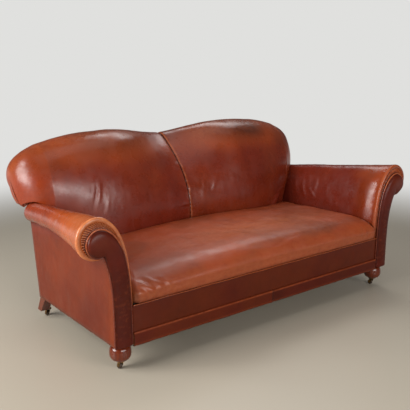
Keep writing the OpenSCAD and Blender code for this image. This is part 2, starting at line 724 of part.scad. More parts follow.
// Profile from the seam over the nose to the back: share of depth, share of height, bulge
seat_profile_share = [[0, 0, 0], [0, 0.24, 0.8], [0, 0.46, 1], [0.02, 0.66, 0.4], [0.055, 0.81, 0],
  [0.11, 0.93, 0], [0.2, 0.99, 0], [0.38, 1, 0], [0.7, 1, 0], [1, 1, 0]];
function seat_section(x, d) =
  let (top = seat_top(x) - d, y0 = seat_y + d, y1 = seat_back_y(x))
  [for (s = seat_profile_share)
    [x, mix(y0, y1, s[0]) - nose * s[2],
     mix(seam_z, top, s[1]) - seat_fall * pow(s[0], 2)]];
module seat_cover() {
  color("sienna") sheet([for (x = seat_steps) seat_section(x, 0)],
    [for (x = seat_steps) seat_section(x, hide_t)], true);
}
module seat_hessian() {
  color("khaki") translate([-half_x1, web_y0, hessian_z])
    cube([2 * half_x1, seat_back_y(0) - back_puff - web_y0, hessian_t]);
}
module seat_stuffing() {
  z0 = hessian_z + hessian_t + lay;
  color("wheat") loft([for (x = seat_steps)
    concat(seat_section(x, pad_in), [[x, seat_back_y(x), z0], [x, web_y0, z0],
      [x, web_y0, front_rail_top + lay], [x, seat_y + pad_in, front_rail_top + lay]])],
    true);
}
module seat_front_border() {
  color("brown") translate([-half_x1, seat_y, front_rail_top - border_tuck])
    cube([2 * half_x1, hide_t, seam_z - piping_r - front_rail_top + border_tuck]);
}
module seat_piping() {
  color("maroon") translate([-half_x1, seat_y - piping_r / 2, seam_z - piping_r])
    rotate([0, 90, 0]) cylinder(h = 2 * half_x1, r = piping_r / 2, $fn = 16);
}

// Base strip under the seat front and its leather
strip_t = 12;
base_end_gap = 2;
base_half = arm_x + pad_in_x - piping_r - base_end_gap;
strip_y0 = front_rail_y - lay - strip_t;
module base_strip() {
  color("burlywood") translate([-base_half + over, strip_y0, base_z + hide_t + lay])
    cube([2 * (base_half - over), strip_t, base_h - 2 * (hide_t + lay)]);
}
module base_cover(x0, x1) {
  outer = [[front_rail_y - lay, base_z], [strip_y0 - hide_t, base_z],
    [strip_y0 - hide_t - lay, base_z + hide_t], [strip_y0 - hide_t - lay, base_z + base_h - hide_t],
    [strip_y0 - hide_t, base_z + base_h], [front_rail_y - lay, base_z + base_h]];
  inner = [[front_rail_y - lay, base_z + base_h - hide_t], [strip_y0 - lay, base_z + base_h - hide_t],
    [strip_y0 - lay, base_z + hide_t], [front_rail_y - lay, base_z + hide_t]];
  color("brown") strip_x(x0, x1, concat(outer, inner));
}

dust_t = 2;
module dust_cover() {
  color("dimgray") translate([bun_d / 2 - foot_x, web_y0, body_z - lay - dust_t])
    cube([2 * foot_x - bun_d, web_y1 - web_y0, dust_t]);
}

// Feet and castors
pin_r = 4;
pin_gap = 0.05;
pin_up = 22;
socket_t = 3;
socket_r = 17;
bun_z = castor_h + socket_t;
bun_lip = 4;
bun_n = 12;
bun_power = 2.4;
module pin_bore() {
  cylinder(h = bun_z + pin_up + over, r = pin_r + pin_gap, $fn = 48);
}
module bun_foot() {
  h = body_z - bun_z;
  r = bun_d / 2;
  base_r = socket_r + bun_lip;
  side = [for (i = [0:bun_n]) let (t = sin(mix(-90, 90, i / bun_n)))
    [base_r + (r - base_r) * sqrt(1 - pow(abs(t), bun_power)), h * (1 + t) / 2]];
  difference() {
    translate([0, 0, bun_z]) rotate_extrude($fn = 64)
      polygon(concat([[0, 0]], side, [[0, h]]));
    pin_bore();
  }
}
module bun_feet() {
  color("chocolate") both_sides() translate([foot_x, foot_y, 0]) bun_foot();
}

foot_places = [[-foot_x, foot_y], [foot_x, foot_y], [-foot_x, rear_foot_y], [foot_x, rear_foot_y]];
screw_r = 1.5;
screw_ring_r = 12;
module castor_sockets() {
  color("goldenrod") for (p = foot_places) translate([p[0], p[1], castor_h])
    difference() {
      cylinder(h = socket_t, r = socket_r, $fn = 48);
      translate([0, 0, -over]) cylinder(h = socket_t + 2 * over, r = pin_r + pin_gap, $fn = 48);
      for (k = [0:2]) rotate([0, 0, 120 * k + 30]) translate([screw_ring_r, 0, -over])
        cylinder(h = socket_t + 2 * over, r = screw_r, $fn = 24);
    }
}
module castor_screws() {
  color("gold") for (p = foot_places, k = [0:2])
    translate([p[0], p[1], castor_h]) rotate([0, 0, 120 * k + 30]) translate([screw_ring_r, 0, 0])
      cylinder(h = socket_t, r = screw_r - pin_gap, $fn = 24);
}

cheek_t = 2;
cheek_gap = 0.5;
fork_t = 3;
axle_r = 2.5;
fork_r = 9;
module castor_horn(p) {
  w = wheel_w + 2 * cheek_gap;
  color("darkgoldenrod") translate([p[0], p[1], 0]) {
    translate([0, 0, castor_h - fork_t - lay]) cylinder(h = fork_t, r = fork_r, $fn = 48);
    translate([0, 0, castor_h - fork_t])
      cylinder(h = socket_t + fork_t + pin_up - over, r = pin_r, $fn = 48);
    for (s = [-1, 1]) translate([s * (w + cheek_t) / 2, 0, 0]) cheek();
    translate([-w / 2 - cheek_t, trail, wheel_d / 2]) rotate([0, 90, 0])
      cylinder(h = w + 2 * cheek_t, r = axle_r, $fn = 32);
  }
}
cheek_edge = 2;
cheek_in = 3;
cheek_lean = 5;
module cheek() {
  low_z = wheel_d / 2 - axle_r - cheek_edge;
  top_z = castor_h - lay - over;
  side = [[trail - axle_r - cheek_edge, low_z], [trail + axle_r + cheek_edge, low_z],
    [trail + axle_r + cheek_edge, wheel_d / 2 + axle_r + over], [fork_r - cheek_in, top_z],
    [cheek_in - fork_r, top_z], [cheek_lean - fork_r, wheel_d - cheek_in]];
  translate([-cheek_t / 2, 0, 0]) rotate([90, 0, 90]) linear_extrude(cheek_t) polygon(side);
}
wheel_round = 1.5;
module castor_wheel(p) {
  color("#3a2a20") translate([p[0] - wheel_w / 2, p[1] + trail, wheel_d / 2])
    rotate([0, 90, 0]) difference() {
      rotate_extrude($fn = 64)
        polygon([[0, 0], [wheel_d / 2 - wheel_round, 0], [wheel_d / 2, wheel_round],
          [wheel_d / 2, wheel_w - wheel_round], [wheel_d / 2 - wheel_round, wheel_w],
          [0, wheel_w]]);
      translate([0, 0, -over]) cylinder(h = wheel_w + 2 * over, r = axle_r + pin_gap, $fn = 32);
    }
}

front_seat_rail();
rear_seat_rail();
mirror([1, 0, 0]) side_seat_rail();  // side_seat_rail_left
side_seat_rail();  // side_seat_rail_right
corner_blocks();
mirror([1, 0, 0]) arm_front_board();  // arm_front_board_left
arm_front_board();  // arm_front_board_right
mirror([1, 0, 0]) back_post();  // back_post_left
back_post();  // back_post_right
back_centre_upright();
back_top_rail();
lower_back_rail();
mirror([1, 0, 0]) arm_top_rail();  // arm_top_rail_left
arm_top_rail();  // arm_top_rail_right
mirror([1, 0, 0]) arm_tacking_rail();  // arm_tacking_rail_left
arm_tacking_rail();  // arm_tacking_rail_right
seat_webbing();
seat_springs();
seat_hessian();
seat_stuffing();
seat_cover();
seat_front_border();
seat_piping();
base_strip();
base_cover(-base_half, -lay);  // base_cover_left
base_cover(lay, base_half);  // base_cover_right
back_webbing();
back_hessian();
mirror([1, 0, 0]) back_stuffing();  // back_stuffing_left
back_stuffing();  // back_stuffing_right
mirror([1, 0, 0]) inside_back();  // inside_back_left
inside_back();  // inside_back_right
outside_back();
mirror([1, 0, 0]) arm_stuffing();  // arm_stuffing_left
arm_stuffing();  // arm_stuffing_right
mirror([1, 0, 0]) inside_arm();  // inside_arm_left
inside_arm();  // inside_arm_right
mirror([1, 0, 0]) outside_arm();  // outside_arm_left
outside_arm();  // outside_arm_right
mirror([1, 0, 0]) front_pad();  // front_pad_left
front_pad();  // front_pad_right
mirror([1, 0, 0]) pad_piping();  // pad_piping_left
pad_piping();  // pad_piping_right
mirror([1, 0, 0]) gathered_band();  // gathered_band_left
gathered_band();  // gathered_band_right
dust_cover();
bun_feet();
castor_sockets();
castor_screws();
castor_horn(foot_places[0]);  // castor_horn_front_left
castor_horn(foot_places[1]);  // castor_horn_front_right
castor_horn(foot_places[2]);  // castor_horn_rear_left
castor_horn(foot_places[3]);  // castor_horn_rear_right
castor_wheel(foot_places[0]);  // castor_wheel_front_left
castor_wheel(foot_places[1]);  // castor_wheel_front_right
castor_wheel(foot_places[2]);  // castor_wheel_rear_left
castor_wheel(foot_places[3]);  // castor_wheel_rear_right
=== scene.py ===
import json
from math import acos, atan, atan2, cos, degrees, log, pi, radians, sin, sqrt

import bmesh
import bpy
import numpy as np
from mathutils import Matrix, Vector, noise


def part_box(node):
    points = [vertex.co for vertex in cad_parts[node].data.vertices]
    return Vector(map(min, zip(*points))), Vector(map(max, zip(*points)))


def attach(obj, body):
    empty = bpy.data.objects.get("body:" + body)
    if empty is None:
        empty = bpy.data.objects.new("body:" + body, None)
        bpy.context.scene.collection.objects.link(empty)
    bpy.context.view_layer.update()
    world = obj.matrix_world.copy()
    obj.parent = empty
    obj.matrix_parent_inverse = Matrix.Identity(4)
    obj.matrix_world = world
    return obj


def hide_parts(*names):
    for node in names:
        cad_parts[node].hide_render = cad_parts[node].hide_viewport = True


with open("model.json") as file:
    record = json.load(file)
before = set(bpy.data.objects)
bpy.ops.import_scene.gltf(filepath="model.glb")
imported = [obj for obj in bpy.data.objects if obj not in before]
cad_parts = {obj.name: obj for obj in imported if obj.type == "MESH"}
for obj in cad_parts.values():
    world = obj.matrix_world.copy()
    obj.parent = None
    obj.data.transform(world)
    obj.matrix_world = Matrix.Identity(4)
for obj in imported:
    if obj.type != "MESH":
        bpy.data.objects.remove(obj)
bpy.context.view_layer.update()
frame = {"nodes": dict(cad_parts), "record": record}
scene = bpy.context.scene
BODY = "sofa"
SIDES = ((-1, "left"), (1, "right"))

# Sizes of the sofa, in metres. The first ones are read from the frame.
arm_low, arm_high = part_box("inside_arm_right")
panel_low, panel_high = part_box("outside_arm_right")
board_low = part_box("arm_front_board_right")[0]
back_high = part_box("inside_back_right")[1]
arm_x = arm_low.x
panel_x = panel_high.x
body_z = panel_low.z
arm_foot_z = arm_low.z
arm_top_z = arm_high.z
arm_y0 = arm_low.y
arm_y1 = arm_high.y
pad_y = board_low.y
front_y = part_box("front_pad_right")[0].y
rear_y = -front_y
back_half_w = back_high.x
lay = 0.0003
hide_t = 0.003

# Arm roll
tail_top_z = 0.537
scroll_r = 0.079
tail_r = 0.043
scroll_out = 0.056
tail_in = 0.013
flare = 2.2
arm_start_a = 125
arm_rise_share = 0.62
arm_sweep_share = 1.13
end_gap = 0.001

# Front pad
pad_in_x = 0.014
head_r = 0.052
head_out = 0.050
head_drop = 0.095
head_start_a = 118
head_end_a = -105
head_tip_a = -7
head_puff = pad_y - front_y
strip_puff = 0.010
head_c = np.array([panel_x + head_out, arm_top_z - head_drop])
piping_r = 0.004
piping_out = 0.0015

# Back
dip_z = 0.772
hump_z = 0.820
shoulder_z = 0.782
round_share = 0.45
fall_power = 2.16
back_roll_r = 0.143
seam_roll_r = 0.072
seat_depth = 0.640
back_puff = 0.070
crease_back = 0.050
face_y = front_y + seat_depth
crease_y = face_y + crease_back
half_x1 = arm_x - 0.0005
hump_x = 0.53 * arm_x
cap_x = back_half_w - back_roll_r
heel_y = rear_y - 0.284
knee_z = 0.440
knee_back = 0.048
knee_y = heel_y + knee_back
rake_share = 0.58
rake = atan(rake_share)
panel_t = 0.0025
shell_gap = panel_t + 2 * lay + hide_t
roll_foot_z = 0.541
back_foot_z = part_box("lower_back_rail")[1].z + lay
lobe_foot_z = 0.436
lobe_full = 0.72
lobe_k = np.array([rear_y - back_roll_r + 0.026, 0.644])
arm_clear = 0.002
foot_lean = (0.046, 0.008)

# Seat and base
seam_z = 0.268
crown_z = 0.392
seat_side_z = 0.362
seat_fall = 0.024
nose = 0.009
seat_gap = 0.0015
base_low, base_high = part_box("base_cover_right")


# Curves and paths
def mix(a, b, t):
    return a + (b - a) * t


def ease(t):
    t = np.clip(t, 0, 1)
    return t * t * (3 - 2 * t)


def bump(d, w):
    return np.exp(-(d / w) ** 2)


def cubic(p, n):
    t = np.linspace(0, 1, n)[:, None]
    p = [np.asarray(q, float) for q in p]
    return (1 - t) ** 3 * p[0] + 3 * (1 - t) ** 2 * t * p[1] + 3 * (1 - t) * t * t * p[2] + t ** 3 * p[3]


def on_circle(c, r, a):
    a = np.radians(np.asarray(a, float))
    return np.stack([c[0] + r * np.cos(a), c[1] + r * np.sin(a)], -1)


def along(a):
    """Way of travel at the angle a of a circle, clockwise."""
    return np.array([sin(radians(a)), -cos(radians(a))])


def even(path, n):
    """n points evenly spaced along a path."""
    path = np.asarray(path, float)
    d = np.r_[0, np.cumsum(np.linalg.norm(np.diff(path, axis=0), axis=1))]
    t = np.linspace(0, d[-1], n)
    return np.stack([np.interp(t, d, path[:, k]) for k in range(path.shape[1])], -1)


def round_path(points, n):
    """A smooth curve through the points, as n even points."""
    p = np.asarray(points, float)
    q = np.vstack([2 * p[0] - p[1], p, 2 * p[-1] - p[-2]])
    t = np.linspace(0, 1, 12, endpoint=False)[:, None]
    out = []
    for i in range(1, len(q) - 2):
        a, b, c, d = q[i - 1], q[i], q[i + 1], q[i + 2]
        out.append(0.5 * (2 * b + (c - a) * t + (2 * a - 5 * b + 4 * c - d) * t ** 2
                          + (3 * b - a - 3 * c + d) * t ** 3))
    return even(np.vstack(out + [p[-1:]]), n)


def roll_path(p, lift, c, r, a0, a1, sweep):
    """From the foot p up a bend and round the circle at c, from the angle a0 to a1."""
    top = on_circle(c, r, a0)
    bend = [p, np.add(p, [0, lift]), top - sweep * along(a0), top]
    return np.vstack([cubic(bend, 50), on_circle(c, r, np.linspace(a0, a1, 70))[1:]])


# Meshes
def new_mesh(name, verts, faces):
    me = bpy.data.meshes.new(name)
    me.from_pydata([tuple(v) for v in verts], [], faces)
    return me


def put(name, data):
    ob = bpy.data.objects.new(name, data)
    scene.collection.objects.link(ob)
    return ob


def mesh_object(name, shape, mat):
    """A smooth piece of the sofa from its vertices and faces."""
    me = new_mesh(name, *shape)
    bm = bmesh.new()
    bm.from_mesh(me)
    bmesh.ops.recalc_face_normals(bm, faces=bm.faces)
    bm.to_mesh(me)
    bm.free()
    me.polygons.foreach_set("use_smooth", [True] * len(me.polygons))
    ob = put(name, me)
    me.materials.append(mat)
    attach(ob, BODY)
    return ob


def paint(ob, *tones):
    """Leather tone per point: redness, darkness (dark tone and painted shade) and wear (rubbed wear and
    painted sheen), each from 0 to 1.
    """
    c = np.zeros((len(ob.data.vertices), 4), np.float32)
    c[:, 0] = 0.5
    c[:, 3] = 1
    for k, v in enumerate(tones):
        c[:np.size(v), k] = np.clip(np.ravel(v), 0, 1)
    at = ob.data.attributes.new("tone", "FLOAT_COLOR", "POINT")
    at.data.foreach_set("color", c.ravel())


def paint_sheet(ob, *tones, back=1):
    """Tones of a thick sheet, as they are on its outer face. Where back is 0, its inner face has none."""
    paint(ob, *[np.hstack([q, q[:, ::-1] * back]) for q in np.broadcast_arrays(*tones)])


def paint_face(ob, shape, *tones):
    """Tones of a form made of rings, as they are on the first points of each ring."""
    full = np.zeros((len(tones),) + shape)
    full[..., :tones[0].shape[1]] = np.broadcast_arrays(*tones)
    paint(ob, *full)


def on_side(p, side):
    """The sofa is worked out on its right, and this mirrors points for its left."""
    return p * np.array([side, 1.0, 1.0])


def grid_faces(rows, n, wrap):
    i, j = np.meshgrid(np.arange(rows - 1), np.arange(n if wrap else n - 1), indexing="ij")
    k = (j + 1) % n
    f = np.stack([i * n + j, i * n + k, (i + 1) * n + k, (i + 1) * n + j], -1)
    return f.reshape(-1, 4).tolist()


def loft(rings, tips=(None, None)):
    """Closed rings joined in order. A tip closes an end in a point, and no tip in one flat face."""
    rows, n = rings.shape[:2]
    verts = list(rings.reshape(-1, 3))
    faces = grid_faces(rows, n, True)
    for end, tip in ((0, tips[0]), (rows - 1, tips[1])):
        edge = [end * n + j for j in range(n)]
        if tip is None:
            faces.append(edge)
        else:
            verts.append(np.asarray(tip, float))
            faces += [[edge[j], edge[(j + 1) % n], len(verts) - 1] for j in range(n)]
    return verts, faces


def strip_loft(outer, inner, side=1):
    """A thick sheet between two grids of the same size, mirrored where side is -1."""
    rows, n = outer.shape[:2]
    ring = on_side(np.concatenate([outer, inner[:, ::-1]], 1), side)
    m = 2 * n
    faces = grid_faces(rows, m, True)
    for end in (0, rows - 1):
        for j in range(n - 1):
            faces.append([end * m + j, end * m + j + 1, end * m + m - 2 - j, end * m + m - 1 - j])
    return list(ring.reshape(-1, 3)), faces


def grid_normals(p, out):
    """Normals of a grid of points, turned to the side where the point out lies."""
    du = np.gradient(p, axis=0)
    dv = np.gradient(p, axis=1)
    n = np.cross(du, dv)
    n /= np.maximum(np.linalg.norm(n, axis=-1, keepdims=True), 1e-12)
    mid = (p.shape[0] // 2, p.shape[1] // 2)
    return n if np.dot(n[mid], np.asarray(out) - p[mid]) > 0 else -n


def field(p, scale, seed, octaves=3):
    """Smooth noise at each point of a grid, from about -1 to 1."""
    q = (p * scale + seed).reshape(-1, 3)
    return np.array([noise.fractal(Vector(x), 1.0, 2.0, octaves) for x in q]).reshape(p.shape[:-1])


def near_line(p, line):
    """Distance from each point of p to a polyline, and the share of its length that lies nearest."""
    line = np.asarray(line, float)
    best = np.full(p.shape[:-1], 1e9)
    where = np.zeros(p.shape[:-1])
    for k in range(len(line) - 1):
        a, d = line[k], line[k + 1] - line[k]
        t = np.clip(((p - a) @ d) / (d @ d), 0, 1)
        r = np.linalg.norm(p - (a + t[..., None] * d), axis=-1)
        hit = r < best
        best = np.where(hit, r, best)
        where = np.where(hit, (k + t) / (len(line) - 1), where)
    return best, where


def crease(p, row):
    """Depth of a fold: a narrow valley with a low ridge beside it, fading at both ends.

    Its row says its places, its width and its depth, in millimetres."""
    line = round_path(np.reshape(row[:-2], (-1, 3)) / 1000, 14)
    width, depth = row[-2] / 1000, row[-1] / 1000
    d, s = near_line(p, line)
    fade = np.sin(pi * s) ** 0.6
    side = near_line(p, line + np.array([1.3 * width, 0, 0.4 * width]))[0]
    return fade * depth * (0.8 * bump(side, 1.2 * width) - bump(d, width))


# Materials
def material(name):
    mat = bpy.data.materials.new(name)
    mat.use_nodes = True
    nt = mat.node_tree
    return mat, nt, nt.nodes["Principled BSDF"], nt.nodes.new("ShaderNodeTexCoord").outputs["Object"]


def feed(nt, n, inputs):
    """Gives a node its inputs: a link for a socket, and else a value."""
    for k, v in inputs.items():
        if hasattr(v, "is_output"):
            nt.links.new(v, n.inputs[k])
        else:
            n.inputs[k].default_value = v


def node(nt, kind, inputs, **props):
    n = nt.nodes.new("ShaderNode" + kind)
    for k, v in props.items():
        setattr(n, k, v)
    feed(nt, n, inputs)
    return n


def noise_of(nt, where, scale, detail=3.0, rough=0.5, warp=0.0):
    inputs = {"Vector": where, "Scale": scale, "Detail": detail, "Roughness": rough, "Distortion": warp}
    return node(nt, "TexNoise", inputs).outputs["Fac"]


def ramp(nt, fac, low, high, to_low=0.0, to_high=1.0):
    return node(nt, "MapRange", {
        "Value": fac, "From Min": low, "From Max": high, "To Min": to_low, "To Max": to_high},
        interpolation_type="SMOOTHSTEP").outputs["Result"]


def maths(nt, op, a, b):
    return node(nt, "Math", {0: a, 1: b}, operation=op).outputs[0]


def blend_colour(nt, fac, a, b):
    return node(nt, "Mix", {0: fac, 6: a, 7: b}, data_type="RGBA", blend_type="MIX").outputs[2]


def srgb(colour):
    linear = [c / 255 / 12.92 if c <= 10 else ((c / 255 + 0.055) / 1.055) ** 2.4 for c in colour]
    return (*linear, 1.0)


def bumps(nt, height, strength, distance, **below):
    inputs = {"Height": height, "Strength": strength, "Distance": distance, **below}
    return node(nt, "Bump", inputs).outputs[0]


def leather(name, tan, red, deep, pale, rough, shine):
    """Waxed hide: cloudy tan and oxblood tones, dark mottling and painted shade, rubbed edges and painted
    sheen, pores and fine creases.
    """
    mat, nt, bsdf, where = material(name)
    tan, red, deep, pale = map(srgb, (tan, red, deep, pale))
    tone = node(nt, "Attribute", {}, attribute_name="tone").outputs["Color"]
    red_at, dark_at, wear_and_sheen_at = node(nt, "SeparateColor", {"Color": tone}).outputs[:3]
    cloud = noise_of(nt, where, 2.6, 5, 0.6, 0.8)
    patch = noise_of(nt, where, 9.5, 6, 0.62, 0.4)
    speck = noise_of(nt, where, 46.0, 5, 0.6)
    gloss = noise_of(nt, where, 15.0, 5, 0.6)
    fac = maths(nt, "ADD", red_at, maths(nt, "SUBTRACT", cloud, 0.5))
    colour = blend_colour(nt, ramp(nt, fac, 0.0, 1.0), tan, red)
    # the last shade is the darkness channel: dark tone and painted shade
    for shade in (maths(nt, "MULTIPLY", ramp(nt, patch, 0.30, 0.85), 0.26),
                  maths(nt, "MULTIPLY", ramp(nt, speck, 0.30, 0.85), 0.16),
                  maths(nt, "MINIMUM", dark_at, 0.9)):
        colour = blend_colour(nt, shade, colour, deep)
    # the wear channel: rubbed wear and painted sheen and highlights
    colour = blend_colour(nt, maths(nt, "MULTIPLY", wear_and_sheen_at, ramp(nt, speck, 0.1, 0.7)), colour, pale)
    bend = node(nt, "TexNoise", {"Vector": where, "Scale": 24.0, "Detail": 3.0}).outputs["Color"]
    bend = node(nt, "VectorMath", {0: bend, "Scale": 0.012}, operation="SCALE").outputs[0]
    warped = node(nt, "VectorMath", {0: where, 1: bend}, operation="ADD").outputs[0]
    pores = node(nt, "TexVoronoi", {"Vector": warped, "Scale": 420.0}).outputs["Distance"]
    lines = node(nt, "TexVoronoi", {"Vector": warped, "Scale": 95.0},
                 feature="DISTANCE_TO_EDGE").outputs["Distance"]
    fine = bumps(nt, pores, 0.06, 0.0009)
    fine = bumps(nt, ramp(nt, lines, 0.0, 0.3), 0.03, 0.0009, Normal=fine)
    fine = bumps(nt, patch, 0.05, 0.004, Normal=fine)
    feed(nt, bsdf, {"Base Color": colour, "Roughness": ramp(nt, gloss, 0.3, 0.75, rough - 0.05, rough + 0.10),
                    "Specular IOR Level": shine, "Normal": fine})
    return mat


def two_noises(nt, a, b):
    """The pattern a with a weaker one, b, on it."""
    return maths(nt, "ADD", maths(nt, "MULTIPLY", a, 0.6), maths(nt, "MULTIPLY", b, 0.5))


def wood(name, light, dark, rough, coat):
    mat, nt, bsdf, where = material(name)
    flat, drawn = (node(nt, "Mapping", {"Vector": where, "Scale": (1, 1, z)}).outputs[0]
                   for z in (0.22, 0.08))
    band = node(nt, "TexWave", {
        "Vector": flat, "Scale": 26.0, "Distortion": 5.0, "Detail": 3.0, "Detail Scale": 1.4}).outputs["Fac"]
    fibre = noise_of(nt, drawn, 190.0, 4)
    colour = blend_colour(nt, ramp(nt, two_noises(nt, band, fibre), 0.15, 1.0), srgb(light), srgb(dark))
    feed(nt, bsdf, {"Base Color": colour, "Roughness": ramp(nt, fibre, 0.3, 0.7, rough - 0.05, rough + 0.08),
                    "Normal": bumps(nt, fibre, 0.12, 0.0005), "Coat Weight": coat, "Coat Roughness": 0.08})
    return mat


def cloth_weave(name, light, dark, pitch):
    mat, nt, bsdf, where = material(name)
    one, two = (node(nt, "TexWave", {"Vector": where, "Scale": pitch, "Distortion": 0.6},
                     bands_direction=way).outputs["Fac"] for way in ("X", "DIAGONAL"))
    weave = maths(nt, "MULTIPLY", one, two)
    fac = two_noises(nt, weave, noise_of(nt, where, 60.0, 4))
    feed(nt, bsdf, {"Base Color": blend_colour(nt, ramp(nt, fac, 0.1, 0.9), srgb(dark), srgb(light)),
                    "Roughness": 0.9, "Normal": bumps(nt, weave, 0.5, 0.0008)})
    return mat


def metal(name, light, dark, rough):
    mat, nt, bsdf, where = material(name)
    stain = noise_of(nt, where, 60.0, 5, 0.65)
    feed(nt, bsdf, {"Base Color": blend_colour(nt, ramp(nt, stain, 0.35, 0.68), srgb(light), srgb(dark)),
                    "Roughness": ramp(nt, stain, 0.3, 0.7, rough, rough + 0.25), "Metallic": 1.0,
                    "Normal": bumps(nt, noise_of(nt, where, 700.0, 2), 0.15, 0.0002)})
    return mat


def tread_of(name, light, dark):
    mat, nt, bsdf, where = material(name)
    wear = noise_of(nt, where, 120.0, 5, 0.6)
    feed(nt, bsdf, {"Base Color": blend_colour(nt, wear, srgb(light), srgb(dark)), "Roughness": 0.5,
                    "Normal": bumps(nt, wear, 0.3, 0.0004)})
    return mat


hide = leather("hide", (146, 58, 21), (116, 36, 19), (50, 14, 8), (196, 108, 62), 0.28, 0.44)
hide_seat = leather("hide_seat", (156, 60, 20), (126, 40, 20), (54, 15, 8), (204, 116, 66), 0.40, 0.5)
hide_tan = leather("hide_tan", (168, 76, 28), (132, 50, 24), (62, 18, 9), (212, 132, 82), 0.26, 0.5)
hide_dark = leather("hide_dark", (94, 33, 9), (86, 23, 10), (36, 10, 6), (160, 76, 38), 0.33, 0.17)
hide_side = leather("hide_side", (120, 45, 16), (102, 33, 14), (52, 15, 8), (176, 92, 50), 0.36, 0.24)
show_wood = wood("show_wood", (104, 38, 11), (92, 31, 10), 0.2, 0.1)
node_materials = {
    "frame_wood": wood("frame_wood", (206, 172, 128), (172, 132, 88), 0.7, 0.0),
    "hessian": cloth_weave("hessian", (186, 158, 110), (120, 96, 60), 260.0),
    "webbing": cloth_weave("webbing", (160, 136, 96), (96, 78, 50), 330.0),
    "stuffing": cloth_weave("felt", (228, 214, 184), (180, 162, 128), 90.0),
    "dust_cloth": cloth_weave("dust_cloth", (46, 42, 42), (18, 16, 17), 500.0),
    "spring_steel": metal("spring_steel", (150, 148, 144), (90, 84, 78), 0.3),
    "castor_brass": metal("brass", (168, 128, 70), (70, 48, 28), 0.28),
    "castor_tread": tread_of("tread", (30, 22, 18), (86, 66, 50)),
    "leather": hide, "base_leather": hide_dark, "piping_leather": hide_tan, "show_wood": show_wood}
for sub in frame["record"]["subparts"]:
    ob = frame["nodes"][sub["node"]]
    ob.data.materials.clear()
    board = "arm_front_board" in sub["node"]
    ob.data.materials.append(hide_dark if board else node_materials[sub["material_slot"]])


# Cloth simulation of a padded piece: only its folds are kept, so the form stays as the frame has it
cloth_frames = 20
cloth_swell = 4.0
cloth_shrink = -0.03
cloth_reach = 0.012
cloth_step = 2


def settle(rings, pinned, tips):
    """How far the simulation moves each point of the rings."""
    verts, faces = loft(rings, tips)
    me = new_mesh("trial", verts, faces)
    me.update()
    ob = put("trial", me)
    count = rings.shape[0] * rings.shape[1]
    pins = ob.vertex_groups.new(name="pins")
    flat = pinned.reshape(-1)
    for k in np.nonzero(flat > 0.01)[0]:
        pins.add([int(k)], float(flat[k]), "REPLACE")
    pins.add(list(range(count, len(verts))), 1.0, "REPLACE")
    mod = ob.modifiers.new("cloth", "CLOTH")
    for k, v in {"quality": 4, "mass": 0.6, "tension_stiffness": 30, "compression_stiffness": 30,
                 "shear_stiffness": 12, "bending_stiffness": 1.2, "use_pressure": True,
                 "uniform_pressure_force": cloth_swell, "shrink_min": cloth_shrink,
                 "vertex_group_mass": "pins"}.items():
        setattr(mod.settings, k, v)
    mod.settings.effector_weights.gravity = 0
    mod.collision_settings.use_collision = False
    mod.collision_settings.use_self_collision = False
    for f in range(1, cloth_frames + 1):
        scene.frame_set(f)
    dg = bpy.context.evaluated_depsgraph_get()
    done = ob.evaluated_get(dg).to_mesh()
    co = np.zeros(len(verts) * 3)
    done.vertices.foreach_get("co", co)
    co = co.reshape(-1, 3)[:count].reshape(rings.shape)
    bpy.data.objects.remove(ob)
    bpy.data.meshes.remove(me)
    scene.frame_set(1)
    move = co - rings
    size = np.linalg.norm(move, axis=-1, keepdims=True)
    return move * np.minimum(1, cloth_reach / np.maximum(size, 1e-9))


def soften(a, passes):
    """Averages the rings of a form with their neighbours, to find its slow part."""
    for _ in range(passes):
        up = np.concatenate([a[:1], a[:-1]])
        down = np.concatenate([a[1:], a[-1:]])
        a = (4 * a + up + down + np.roll(a, 1, 1) + np.roll(a, -1, 1)) / 8
    return a


def folds(rings, pinned, tips, keep):
    """The fine folds that the simulation gives a form, worked out on a coarser copy of its rings."""
    count, n = rings.shape[:2]
    rows = np.unique(np.r_[np.arange(0, count, cloth_step), count - 1])
    cols = np.arange(0, n, cloth_step)
    pins = pinned[rows][:, cols]
    move = settle(rings[rows][:, cols], pins, tips)
    move = keep * (move - soften(move, 30)) * (1 - pins)[..., None]
    move = np.concatenate([move, move[:, :1]], 1)
    cols = np.r_[cols, n]
    part = np.stack([[np.interp(np.arange(n), cols, row[:, k]) for k in range(3)] for row in move])
    out = np.stack([[np.interp(np.arange(count), rows, part[:, k, j]) for j in range(n)] for k in range(3)])
    return soften(out.transpose(2, 1, 0), 3)


# Camera and stage
photo_px, focal_px, film_mm = 410, 657.2, 36
look_down_a, look_right_a = 13.68, 37.84
camera = put("camera", bpy.data.cameras.new("camera"))
camera.location = (-1.925, -2.462, 1.218)
camera.rotation_euler = (radians(90 - look_down_a), 0, radians(-look_right_a))
camera.data.sensor_width = film_mm
camera.data.lens = focal_px / photo_px * film_mm
scene.camera = camera

ground_me = new_mesh("ground", [(-30, -30, 0), (30, -30, 0), (30, 30, 0), (-30, 30, 0)], [[0, 1, 2, 3]])
ground = put("ground", ground_me)
backdrop_colour = srgb((224, 224, 222))
floor_clear, floor_gone = 1.7, 3.4
floor_mat, nt, floor_bsdf, floor_at = material("floor")
feed(nt, floor_bsdf, {"Base Color": srgb((180, 171, 155)), "Roughness": 0.34, "Specular IOR Level": 0.35})
glow = node(nt, "Emission", {"Color": backdrop_colour, "Strength": 1.0}).outputs[0]
far = node(nt, "VectorMath", {0: floor_at}, operation="LENGTH").outputs["Value"]
away = ramp(nt, far, floor_clear, floor_gone)
floor_mix = node(nt, "MixShader", {0: away, 1: floor_bsdf.outputs[0], 2: glow})
nt.links.new(floor_mix.outputs[0], nt.nodes["Material Output"].inputs["Surface"])
ground_me.materials.append(floor_mat)

